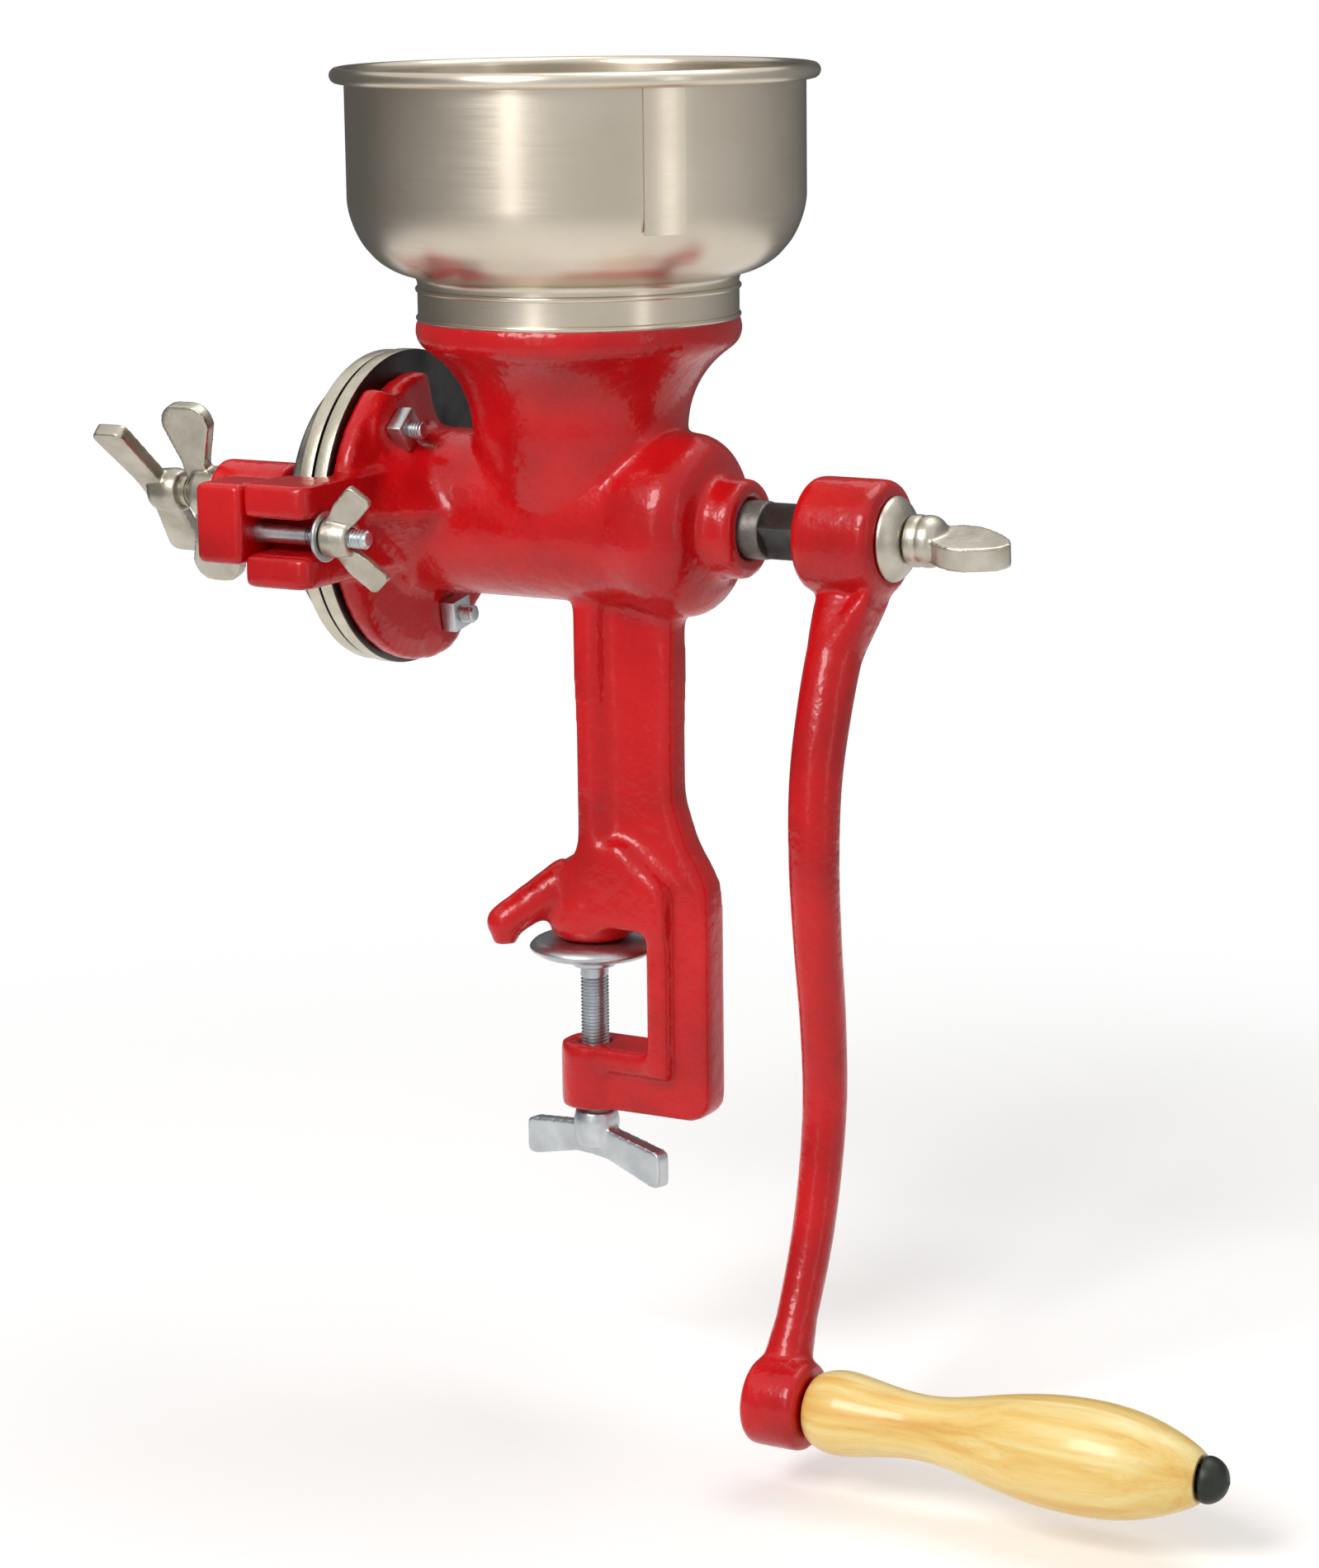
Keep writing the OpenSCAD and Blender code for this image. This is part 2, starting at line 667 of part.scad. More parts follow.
module bridge_washer(side) color(zinc) in_mill() translate([0, side * bridge_bolt_y, 0]) difference() {
    rod(ear_rear + face_gap, ear_rear + washer_t, bridge_bolt_d * 2.6);
    rod(ear_rear - 1, ear_rear + washer_t + 1, bridge_bolt_d + 2 * loose_gap);
}

module bridge_washer_near() bridge_washer(-1);
module bridge_washer_far() bridge_washer(1);

// One wing along +Y that widens to a tip with rounded corners. The shaft side is at x = 0, and it sweeps back by lean.
module wing(root_y, tip_y, root_w, tip_w, t, root_x, lean, corner = wing_corner) {
    hull() {
        translate([root_x, root_y, -t / 2]) cylinder(h = t, d = root_w, $fn = hull_fn);
        for (x = [corner - tip_w / 2, tip_w / 2 - corner])
            translate([root_x + lean + x, tip_y - corner, -t / 2]) cylinder(h = t, r = corner, $fn = hull_fn);
    }
}

// A nut body with two wings, bored for its bolt
module wing_nut(side, turn) color(nickel) in_mill() {
    start = ear_rear + washer_t + face_gap;
    translate([start, side * bridge_bolt_y, 0]) rotate([turn, 0, 0]) difference() {
        union() {
            rotate([0, 90, 0]) cylinder(h = nut_boss_h, d1 = nut_boss_d, d2 = nut_boss_d - 2);
            for (half = halves) rotate([half, 0, 0]) wing(nut_boss_d / 4, nut_wing_span / 2, nut_wing_root_w, nut_wing_w,
                nut_wing_t, nut_boss_h / 2, nut_wing_sweep);
        }
        rod(-over, nut_boss_h + over, bridge_bolt_d + 2 * loose_gap);
    }
}

module wing_nut_near() wing_nut(-1, near_nut_turn);
module wing_nut_far() wing_nut(1, far_nut_turn);

// Head of a big screw: a boss with two swept wings, growing along -X from x = 0
module wing_head(turn) mirror([1, 0, 0]) rotate([-turn, 0, 0]) {
    rod(-0.5, wing_boss_h, wing_boss_d);
    for (half = halves) rotate([half, 0, 0]) wing(big_wing_root_y, big_wing_span / 2, big_wing_root_w, big_wing_w,
        big_wing_t, big_wing_back, big_wing_sweep);
}

module adjusting_screw() color(nickel) in_mill() {
    head_x = bridge_front - lock_t - adjust_head_gap;
    difference() {
        rod(head_x - 1, adjust_tip, big_screw_d);
        translate([ball_x, 0, 0]) sphere(d = ball_d + face_gap);
    }
    translate([head_x, 0, 0]) wing_head(adjust_wing_turn);
}

module lock_wing_nut() color(nickel) in_mill() translate([bridge_front - face_gap, 0, 0]) difference() {
    union() {
        rod(-lock_t, 0, lock_boss_d);
        for (turn = lock_turns) rotate([turn, 0, 0]) wing(lock_boss_d / 3, lock_wing_span / 2, lock_wing_root_w, lock_wing_w,
            lock_wing_t, -lock_t / 2 - lock_wing_back, lock_wing_lean, lock_corner);
    }
    rod(-lock_wing_w, lock_wing_w, big_screw_d + 2 * loose_gap);
}

module thrust_ball() color(zinc) in_mill() translate([ball_x, 0, 0]) sphere(d = ball_d);

// Crank and handle

// Middle line of the arm: sideways in millimetres, and down as a share of the crank's radius
arm_line = [[8, 0], [6, 0.045], [-2, 0.12], [-7, 0.2], [-9, 0.285], [-5.5, 0.38], [1.5, 0.475], [9.5, 0.57],
    [15, 0.675], [13.5, 0.81], [4, 0.945], [0, 1]];

// A smooth curve through a list of points, at u from 0 to 1
function along(points, u) = let (
    last = len(points) - 1,
    k = min(floor(u * last), last - 1),
    t = u * last - k,
    a = points[max(k - 1, 0)], b = points[k], c = points[k + 1], d = points[min(k + 2, last)]
) 0.5 * (2 * b + (c - a) * t + (2 * a - 5 * b + 4 * c - d) * t * t + (3 * b - a - 3 * c + d) * t * t * t);

function arm_point(u) = let (p = along(arm_line, u)) [arm_x, p[0], -p[1] * crank_r];

// Round bar swept along the arm's middle line
module arm_bar() {
    rings = 44;
    sides = 24;
    path = [for (i = [0:rings]) arm_point(i / rings)];
    points = [for (i = [0:rings]) let (
            run = path[min(i + 1, rings)] - path[max(i - 1, 0)],
            across = [0, -run.z, run.y] / norm(run),
            r = (arm_d_top + (arm_d_end - arm_d_top) * min(1, i / rings * 1.1)) / 2)
        for (k = [0:sides - 1]) path[i] + r * (across * cos(k * 360 / sides) + [1, 0, 0] * sin(k * 360 / sides))];
    faces = [
        for (i = [0:rings - 1], k = [0:sides - 1]) let (
                a = i * sides + k, b = i * sides + (k + 1) % sides)
            each [[a, a + sides, b], [b, a + sides, b + sides]],
        for (k = [1:sides - 2]) each [[0, k, k + 1], [rings * sides, rings * sides + k + 1, rings * sides + k]]];
    polyhedron(points, faces);
}

// A boss along X with rounded edges
module rounded_boss(x0, x1, d, edge) lathe() rounded_half([0, x0], [d / 2, x1], edge);

module rounded_half(low, high, r) {
    translate(low) square([high.x - r, high.y - low.y]);
    translate([0, low.y + r]) square([high.x, high.y - low.y - 2 * r]);
    for (y = [low.y + r, high.y - r]) translate([high.x - r, y]) circle(r);
}

module crank_arm() color(enamel_red) in_mill() turned() difference() {
    hole = square_w + 2 * loose_gap;
    union() {
        arm_bar();
        rounded_boss(hub_start, hub_end, hub_d, 3.5);
        translate([0, 0, -crank_r]) rounded_boss(boss_start, boss_end, handle_boss_d, 2.5);
    }
    rotate([45, 0, 0]) translate([hub_start - 1, -hole / 2, -hole / 2]) cube([hub_len + 2, hole, hole]);
    translate([0, 0, -crank_r]) rod(boss_start - 1, boss_end + 1, spindle_d);
}

module crank_washer() color(nickel) in_mill() difference() {
    lathe() {
        translate([0, hub_end + face_gap]) square([dome_d / 2, 1.5]);
        polygon([[0, hub_end + 1.5], [dome_d / 2, hub_end + 1.5], [dome_d / 2 - 3, hub_end + 4],
            [crank_bolt_d + 1, hub_end + dome_t], [0, hub_end + dome_t]]);
    }
    rod(hub_end - 1, hub_end + dome_t + 1, crank_bolt_d + 2 * loose_gap);
}

module crank_bolt() color(nickel) in_mill() rotate([bolt_turn, 0, 0]) {
    head_x = hub_end + dome_t + face_gap;
    rod(hub_end - bolt_depth, head_x + over, crank_bolt_d);
    rod(head_x, head_x + bolt_boss_h, crank_bolt_d * 2);
    for (half = halves) rotate([half, 0, 0]) translate([head_x, 0, 0]) wing(bolt_wing_root_y, bolt_wing_span / 2,
        bolt_wing_root_w, bolt_wing_w, bolt_wing_t, bolt_boss_h, bolt_wing_sweep, bolt_corner);
}

module handle_spindle() color(black) in_mill() turned() translate([0, 0, -crank_r]) {
    rivet_t = 2;
    head_h = 7.5;
    head_r = spindle_head_d / 2;
    edge_h = 2;
    steps = 10;
    rod(boss_start - rivet_t, boss_start, spindle_d * 1.6);
    rod(boss_start - 0.5, grip_end + face_gap + 1, spindle_d);
    translate([grip_end + face_gap, 0, 0]) lathe() polygon([[0, 0],
        for (i = [0:steps]) let (a = 90 * i / steps) [head_r * cos(a), edge_h + (head_h - edge_h) * sin(a)]]);
}

// Diameters along the grip, as the share of its length and the diameter there
grip_stations = [[0, grip_collar_d - 7], [0.04, grip_collar_d - 1.2], [0.09, grip_collar_d], [0.17, grip_collar_d - 2.4],
    [0.26, grip_waist_d + 1], [0.35, grip_waist_d], [0.47, grip_waist_d + 6], [0.6, grip_bulge_d - 1.5],
    [0.74, grip_bulge_d], [0.86, grip_bulge_d - 4.4], [0.95, grip_end_d + 6], [1, grip_end_d]];

module handle_grip() color(varnished_wood) in_mill() turned() translate([grip_start, 0, -crank_r]) {
    steps = 44;
    bore_r = spindle_d / 2 + loose_gap;
    lathe() polygon([[bore_r, 0], for (i = [0:steps]) let (p = along(grip_stations, i / steps))
        [p[1] / 2, p[0] * grip_len], [bore_r, grip_len]]);
}

// Clamp

module clamp_screw() color(zinc) {
    head_z = -clamp_opening - clamp_boss_h - 2;
    translate([0, 0, head_z - 1]) cylinder(h = pad_top - pad_t + 1.5 - head_z + 1, d = big_screw_d - 1);
    translate([0, 0, head_z]) rotate([0, 90, 0]) mirror([1, 0, 0]) wing_head(clamp_wing_turn);
}

module clamp_pad() color(zinc) translate([0, 0, pad_top]) difference() {
    dish = 2;
    collar_r = big_screw_d / 2 + 2;
    rotate_extrude() polygon([[0, 0], [pad_d / 2 - dish, 0], [pad_d / 2, -dish], [pad_d / 2, -dish - 1],
        [pad_d / 2 - 3, -pad_t], [collar_r, -pad_t], [collar_r, -pad_t - pad_collar_h], [0, -pad_t - pad_collar_h]]);
    translate([0, 0, -pad_t - pad_collar_h - 1]) cylinder(h = pad_collar_h + 3, d = big_screw_d - 1 + 2 * loose_gap);
}

mill_body();
hopper();
worm_shaft();
stationary_plate();
stationary_plate_bolts();
stationary_plate_nuts();
rotating_plate();
plate_carrier();
carrier_screws();
carrier_nuts();
bridge();
bridge_bolts();
bridge_washer_near();
bridge_washer_far();
wing_nut_near();
wing_nut_far();
adjusting_screw();
lock_wing_nut();
thrust_ball();
crank_arm();
crank_washer();
crank_bolt();
handle_spindle();
handle_grip();
clamp_screw();
clamp_pad();
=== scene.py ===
# %% [markdown]
# A hand corn grinder, clamped to a table edge. A cast body in red enamel carries a sheet hopper,
# a worm shaft pushes the corn between two plates, and a long S-shaped crank turns it all.
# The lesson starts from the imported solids, which say where every piece sits and how it moves.

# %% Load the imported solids
import math

import bmesh
import bpy
from mathutils import Matrix, Vector


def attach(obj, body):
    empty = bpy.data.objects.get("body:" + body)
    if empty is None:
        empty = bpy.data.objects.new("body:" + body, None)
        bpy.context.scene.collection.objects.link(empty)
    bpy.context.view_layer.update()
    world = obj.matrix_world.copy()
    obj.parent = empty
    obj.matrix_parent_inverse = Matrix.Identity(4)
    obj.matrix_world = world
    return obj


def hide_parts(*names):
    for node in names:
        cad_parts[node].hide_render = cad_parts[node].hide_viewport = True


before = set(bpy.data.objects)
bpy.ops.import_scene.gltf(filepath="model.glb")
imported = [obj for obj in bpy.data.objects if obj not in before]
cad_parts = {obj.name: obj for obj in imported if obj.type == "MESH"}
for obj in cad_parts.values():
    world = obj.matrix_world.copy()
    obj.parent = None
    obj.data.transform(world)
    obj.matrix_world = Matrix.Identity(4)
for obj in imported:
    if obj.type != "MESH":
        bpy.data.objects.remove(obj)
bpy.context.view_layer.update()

# %% [markdown]
# Sizes are easier to read in millimetres, so every piece is modelled in millimetres and scaled
# once at the end. Most pieces belong to the mill, whose own zero is where the shaft's line meets
# the throat's axis. The crank hangs a little to the viewer's side, so what turns with it is
# tilted by the same angle.

# %% Places that the pieces share
MM = 0.001
HALF, WHOLE = math.pi, 2 * math.pi
IN_MILL = Matrix.Translation((-2, 0, 134))
CRANK_REST = math.radians(-10.5)
WITH_CRANK = IN_MILL @ Matrix.Rotation(CRANK_REST, 4, "X")
UPRIGHT = Matrix.Rotation(-HALF / 2, 4, "Y")
CRANK_R = 263
AT_HANDLE = WITH_CRANK @ Matrix.Translation((0, 0, -CRANK_R))
print("shaft line is", IN_MILL.translation.z, "mm over the clamp's upper jaw")

# %% [markdown]
# Colours are written as the hex values an eye would pick from the screen. Blender's shaders want
# linear light, so one function converts them. A second function adds a shader node, fills in its
# settings and links its inputs, which keeps each recipe short.

# %% Colour and node helpers
def rgb(hex_colour):
    """Linear colour of an sRGB hex value such as #c91f1f."""
    parts = [int(hex_colour[i:i + 2], 16) / 255 for i in (1, 3, 5)]
    return (*[p / 12.92 if p <= 0.04045 else ((p + 0.055) / 1.055) ** 2.4 for p in parts], 1)


def add(tree, kind, settings=None, links=None):
    """Adds a node, sets its properties, sockets and (place, hex) stops, and links its inputs."""
    node = tree.nodes.new("ShaderNode" + kind)
    for name, value in (settings or {}).items():
        if name == "stops":
            elements = node.color_ramp.elements
            while len(elements) < len(value):
                elements.new(0.5)
            for element, (place, colour) in zip(elements, value):
                element.position, element.color = place, rgb(colour)
        elif isinstance(name, str) and hasattr(node, name):
            setattr(node, name, value)
        else:
            node.inputs[name].default_value = value
    for name, source in (links or {}).items():
        tree.links.new(source, node.inputs[name])
    return node


def new_material(name):
    """An empty node material, its tree and its Object coordinates."""
    material = bpy.data.materials.new(name)
    material.use_nodes = True
    material.node_tree.nodes.clear()
    coords = add(material.node_tree, "TexCoord").outputs["Object"]
    return material, material.node_tree, coords


print("red in linear light:", [round(v, 3) for v in rgb("#c91f1f")])

# %% [markdown]
# Red enamel over sand-cast iron. The casting keeps the grain of the sand, and the paint flows
# over it, so the gloss breaks into small sparkles and soft dents. The dents are a few
# millimetres wide and the grain is about one, and both only bend the light. The colour itself
# shifts a little where the paint is thicker.

# %% Red enamel
DENT, GRAIN, CLOUD = 4.5 * MM, 1.4 * MM, 30 * MM
PAINT = [(0.3, "#b3090f"), (0.52, "#cf1016"), (0.72, "#da181c")]

red_enamel, tree, coords = new_material("red_enamel_on_casting")
cloud = add(tree, "TexNoise", {"Scale": 1 / CLOUD, "Detail": 4.0}, {"Vector": coords})
dent = add(tree, "TexNoise", {"Scale": 1 / DENT, "Detail": 2.0}, {"Vector": coords})
grain = add(tree, "TexNoise", {"Scale": 1 / GRAIN, "Detail": 3.0, "Roughness": 0.6}, {"Vector": coords})
paint = add(tree, "ValToRGB", {"stops": PAINT}, {"Fac": cloud.outputs["Fac"]})
gloss = add(tree, "MapRange", {"To Min": 0.2, "To Max": 0.36}, {"Value": grain.outputs["Fac"]})
dents = add(tree, "Bump", {"Strength": 0.35, "Distance": 1.0 * MM}, {"Height": dent.outputs["Fac"]})
grains = add(tree, "Bump", {"Strength": 0.2, "Distance": 0.4 * MM},
             {"Height": grain.outputs["Fac"], "Normal": dents.outputs["Normal"]})
enamel = add(tree, "BsdfPrincipled",
             {"Coat Weight": 0.3, "Coat Roughness": 0.07, "IOR": 1.5, "Specular IOR Level": 0.25},
             {"Base Color": paint.outputs["Color"], "Roughness": gloss.outputs["Result"],
              "Normal": grains.outputs["Normal"], "Coat Normal": dents.outputs["Normal"]})
add(tree, "OutputMaterial", None, {"Surface": enamel.outputs[0]})
print("material:", red_enamel.name)

# %% [markdown]
# Tinned sheet. The sheet was rolled and then spun over a form, so its fine lines run round the
# hopper and smear highlights upwards. Anisotropy does the smearing. Its tangent, a cross product
# of the surface's normal with the upright axis, runs round the hopper, and a quarter turn sets
# it upright. The lines are drawn about 0.6 mm apart, coarser than real ones, so that they show.

# %% Tinned sheet
LINES, STAIN, LINE_STRETCH = 0.6 * MM, 40 * MM, 0.03
TIN = [(0.3, "#c9bdab"), (0.7, "#d8cebd")]

tinned_sheet, tree, coords = new_material("tinned_sheet_spun")
stretch = add(tree, "Mapping", {"Scale": (LINE_STRETCH, LINE_STRETCH, 1)}, {"Vector": coords})
lines = add(tree, "TexNoise", {"Scale": 1 / LINES, "Detail": 2.0}, {"Vector": stretch.outputs["Vector"]})
stain = add(tree, "TexNoise", {"Scale": 1 / STAIN, "Detail": 5.0}, {"Vector": coords})
tin = add(tree, "ValToRGB", {"stops": TIN}, {"Fac": stain.outputs["Fac"]})
sheen = add(tree, "MapRange", {"To Min": 0.24, "To Max": 0.36}, {"Value": lines.outputs["Fac"]})
normal = add(tree, "NewGeometry").outputs["Normal"]
around = add(tree, "VectorMath", {"operation": "CROSS_PRODUCT", 1: (0, 0, 1)}, {0: normal})
brushed = add(tree, "Bump", {"Strength": 0.03, "Distance": 0.2 * MM}, {"Height": lines.outputs["Fac"]})
sheet = add(tree, "BsdfPrincipled", {"Metallic": 1.0, "Anisotropic": 0.7, "Anisotropic Rotation": 0.25},
            {"Base Color": tin.outputs["Color"], "Roughness": sheen.outputs["Result"],
             "Normal": brushed.outputs["Normal"], "Tangent": around.outputs["Vector"]})
add(tree, "OutputMaterial", None, {"Surface": sheet.outputs[0]})
print("material:", tinned_sheet.name)

# %% [markdown]
# Six more metals differ only in their colours, in how rough they are and in how coarse their
# surface is: cast plates dipped in tin, bare castings, oiled shaft steel (which also serves as
# painted shade on the plates' faces and backs), dull nickel plate on the hand screws, zinc plate
# on bolts and clamp, and blacked steel. One recipe takes those values, with one noise for the
# blotches of the plating and a finer one for its grain.

# %% Other metals
BLOTCH, ROUGH_SPREAD = 12 * MM, 0.08


def plated_metal(name, dark, light, rough, grain_mm, bump):
    """A metal with wide blotches between two colours and a grain of the given size."""
    material, tree, coords = new_material(name)
    blotch = add(tree, "TexNoise", {"Scale": 1 / BLOTCH, "Detail": 5.0}, {"Vector": coords})
    grain = add(tree, "TexNoise", {"Scale": 1 / (grain_mm * MM), "Detail": 3.0}, {"Vector": coords})
    colour = add(tree, "ValToRGB", {"stops": [(0.32, dark), (0.68, light)]}, {"Fac": blotch.outputs["Fac"]})
    dull = add(tree, "MapRange", {"To Min": rough - ROUGH_SPREAD, "To Max": rough + ROUGH_SPREAD},
               {"Value": grain.outputs["Fac"]})
    uneven = add(tree, "Bump", {"Strength": bump, "Distance": 0.4 * MM}, {"Height": grain.outputs["Fac"]})
    metal = add(tree, "BsdfPrincipled", {"Metallic": 1.0},
                {"Base Color": colour.outputs["Color"], "Roughness": dull.outputs["Result"],
                 "Normal": uneven.outputs["Normal"]})
    add(tree, "OutputMaterial", None, {"Surface": metal.outputs[0]})
    print("material:", name)
    return material


tinned_iron = plated_metal("tinned_cast_iron", "#b5ae9c", "#d3ccba", 0.36, 1.4, 0.15)
bare_iron = plated_metal("bare_cast_iron", "#5c5955", "#8a867f", 0.5, 1.2, 0.3)
dark_steel_and_painted_shade = plated_metal("oiled_steel_and_painted_shade", "#3a3a3b", "#5c5c5b", 0.38, 0.8, 0.1)
nickel_steel = plated_metal("dull_nickel_plate", "#a8a192", "#c9c3b6", 0.36, 1.6, 0.22)
zinc_steel = plated_metal("zinc_plate", "#b2b7ba", "#d2d6d8", 0.36, 1.2, 0.14)
black_steel = plated_metal("blacked_steel", "#2a2c29", "#474a45", 0.45, 0.9, 0.1)

# %% [markdown]
# Turned hardwood under clear varnish. The grain runs along the handle, so the noise is stretched
# twenty times along X, and a second, finer one draws the pores. The varnish is the coat: smooth
# and glossy over a softer wood.

# %% Varnished wood
RINGS, PORES, WOOD_STRETCH = 6 * MM, 0.7 * MM, 0.05
BOARD = [(0.28, "#e9b155"), (0.48, "#f6d178"), (0.68, "#fce59d")]
PORE = [(0.3, "#b98a4e"), (0.45, "#ffffff")]

varnished_wood, tree, coords = new_material("varnished_hardwood")
along_x = add(tree, "Mapping", {"Scale": (WOOD_STRETCH, 1, 1)}, {"Vector": coords}).outputs["Vector"]
rings = add(tree, "TexNoise", {"Scale": 1 / RINGS, "Detail": 4.0, "Distortion": 0.6}, {"Vector": along_x})
pores = add(tree, "TexNoise", {"Scale": 1 / PORES, "Detail": 2.0}, {"Vector": along_x})
board = add(tree, "ValToRGB", {"stops": BOARD}, {"Fac": rings.outputs["Fac"]})
pore = add(tree, "ValToRGB", {"stops": PORE}, {"Fac": pores.outputs["Fac"]})
wood = add(tree, "MixRGB", {"blend_type": "MULTIPLY", "Fac": 0.12},
           {"Color1": board.outputs["Color"], "Color2": pore.outputs["Color"]})
raised = add(tree, "Bump", {"Strength": 0.1, "Distance": 0.3 * MM}, {"Height": pores.outputs["Fac"]})
varnish = add(tree, "BsdfPrincipled", {"Roughness": 0.42, "Coat Weight": 0.5, "Coat Roughness": 0.14},
              {"Base Color": wood.outputs["Color"], "Normal": raised.outputs["Normal"]})
add(tree, "OutputMaterial", None, {"Surface": varnish.outputs[0]})
print("material:", varnished_wood.name)

# %% [markdown]
# Every new piece ends the same way: its doubles are merged, its faces are turned outwards, edges
# that are really sharp stay sharp while the rest shade smoothly, and the millimetres become
# metres. Then the piece is tied to the body that carries it and takes the place of its solid.

# %% Finish a piece
SHARP, SAME_SPOT = math.radians(38), 0.001


def clean(bm):
    """Merges doubles and turns the faces outwards."""
    bmesh.ops.remove_doubles(bm, verts=bm.verts, dist=SAME_SPOT)
    bmesh.ops.recalc_face_normals(bm, faces=bm.faces)


def finish_piece(bm, name, body, material, node):
    """Makes an object of a mesh in millimetres, on its body and in place of its solid."""
    clean(bm)
    bmesh.ops.scale(bm, vec=(MM, MM, MM), verts=bm.verts)
    for face in bm.faces:
        face.smooth = True
    for edge in bm.edges:
        edge.smooth = len(edge.link_faces) == 2 and edge.calc_face_angle() < SHARP
    mesh = bpy.data.meshes.new(name)
    bm.to_mesh(mesh)
    bm.free()
    mesh.materials.append(material)
    piece = bpy.data.objects.new(name, mesh)
    bpy.context.scene.collection.objects.link(piece)
    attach(piece, body)
    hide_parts(node)
    print(name, len(mesh.polygons), "faces on", body)
    return piece


print("edges over", round(math.degrees(SHARP)), "degrees stay sharp")

# %% [markdown]
# Round pieces are turned, as on a lathe. A profile is a short chain of vertices, each with its
# place along the axis, its radius and, where the corner isn't sharp, the size of its round. A
# vertex bevel draws the rounds, and one full spin about X makes the piece.

# %% Turn a profile
def join(bm, shape, place=Matrix()):
    """Moves a shape to its place and adds it to a mesh."""
    bmesh.ops.transform(shape, matrix=place, verts=shape.verts)
    mesh = bpy.data.meshes.new("shape")
    shape.to_mesh(mesh)
    shape.free()
    bm.from_mesh(mesh)
    bpy.data.meshes.remove(mesh)


def round_corners(shape, points, outline):
    """Rounds the vertices whose (x, y, round) point gives a third value."""
    for size in sorted({p[2] for p in outline if len(p) > 2}):
        corners = [v for v, p in zip(points, outline) if len(p) > 2 and p[2] == size]
        bmesh.ops.bevel(shape, geom=corners, offset=size, offset_type="OFFSET", affect="VERTICES",
                        segments=3 + int(size), profile=0.5, material=-1)


def turn(bm, profile, steps=64, ring=False, place=Matrix()):
    """Spins (along, radius, round) points about X and joins the result at its place."""
    shape = bmesh.new()
    points = [shape.verts.new((p[0], 0, p[1])) for p in profile]
    for a, b in zip(points, points[1:]):
        shape.edges.new((a, b))
    if ring:
        shape.edges.new((points[-1], points[0]))
    round_corners(shape, points, profile)
    bmesh.ops.spin(shape, geom=shape.verts[:] + shape.edges[:], cent=(0, 0, 0), axis=(1, 0, 0),
                   angle=WHOLE, steps=steps, use_merge=True)
    join(bm, shape, place)


# %% [markdown]
# Castings. The body, the bridge and the crank arm came out of sand moulds, where no inside
# corner is sharp. Where a solid already has the right shape, a copy of it is merged, given a new
# skin of small even faces by a voxel remesh, and smoothed a few rounds, which rounds its edges
# and fills its corners as molten iron does.

# %% Skin and smooth
def ease(bm, verts, rounds):
    """Smooths some vertices of a mesh a few rounds."""
    for _ in range(rounds):
        bmesh.ops.smooth_vert(bm, verts=verts, factor=0.5,
                              use_axis_x=True, use_axis_y=True, use_axis_z=True)


def new_skin(bm, voxel, rounds):
    """Melts the shells of a mesh into one skin of even faces and eases its corners."""
    mesh = bpy.data.meshes.new("rough_shape")
    bm.to_mesh(mesh)
    holder = bpy.data.objects.new("rough_shape", mesh)
    bpy.context.scene.collection.objects.link(holder)
    skin = holder.modifiers.new("skin", "REMESH")
    skin.mode, skin.voxel_size = "VOXEL", voxel
    even = bpy.data.meshes.new_from_object(holder.evaluated_get(bpy.context.evaluated_depsgraph_get()))
    bm.clear()
    bm.from_mesh(even)
    ease(bm, bm.verts, rounds)
    bpy.data.objects.remove(holder)
    bpy.data.meshes.remove(mesh)
    bpy.data.meshes.remove(even)


def solid_copy(node):
    """A merged copy of a node's solid, in millimetres."""
    bm = bmesh.new()
    bm.from_mesh(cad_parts[node].data)
    bmesh.ops.remove_doubles(bm, verts=bm.verts, dist=SAME_SPOT * MM)
    bmesh.ops.scale(bm, vec=(1 / MM, 1 / MM, 1 / MM), verts=bm.verts)
    return bm


# %% [markdown]
# The body's solid lacks what only the founder's pattern had: a web between each ear and the
# barrel, and a fuller knob over the clamp. A web is the hull of four vertices, lower on the far
# side, where the flange has its notch, and the knob is turned. Around the near ear the flange
# runs out to the plate's rim, the hull of points on an arc. A turned ring fills the corner
# before the bearing's shoulder. All sink into the copy before it gets its skin, so one skin runs
# over all.

# %% Cast body
BODY_VOXEL, BODY_ROUNDS = 1.4, 6
WEB = [(-53, -15, 29), (-53, -50, 3), (-53, -15, -23), (-29.5, -23, 2.5)]
NEAR_WEB_TOP, FAR_WEB_TOP = 29, 18
SHOULDER = [(21, 22.5), (21, 25.8), (31.5, 28.3), (34, 28.3), (34, 22.5)]
KNOB = [(0.1, 0), (0.1, 12, 1.5), (4, 14.5, 2), (17, 14.5, 4), (22, 8), (24, 0)]
FLANGE_R, FLANGE_SIDES = 48.8, (-62.6, -56)
FLANGE_TURNS = [math.radians(degrees) for degrees in range(122, 283, 10)]


def hull(bm, points, place):
    """Joins the convex hull of a few points at its place."""
    shape = bmesh.new()
    bmesh.ops.convex_hull(shape, input=[shape.verts.new(point) for point in points])
    bmesh.ops.recalc_face_normals(shape, faces=shape.faces)
    join(bm, shape, place)


bm = solid_copy("mill_body")
for side, top in ((1, NEAR_WEB_TOP), (-1, FAR_WEB_TOP)):
    hull(bm, [(x, side * y, min(z, top)) for x, y, z in WEB], IN_MILL)
turn(bm, KNOB, 40, place=UPRIGHT)
turn(bm, SHOULDER, 64, True, IN_MILL)
hull(bm, [(x, FLANGE_R * math.cos(angle), FLANGE_R * math.sin(angle))
          for x in FLANGE_SIDES for angle in FLANGE_TURNS], IN_MILL)
new_skin(bm, BODY_VOXEL, BODY_ROUNDS)
print("body's skin:", len(bm.faces), "faces")

# %% [markdown]
# Some inside corners of the body are filled more than others: the flare at the leg's foot, the
# corner at the bearing's shoulder, the flange's notch and the hollow under the lip. Their
# vertices are picked by where they lie and get a few more rounds.

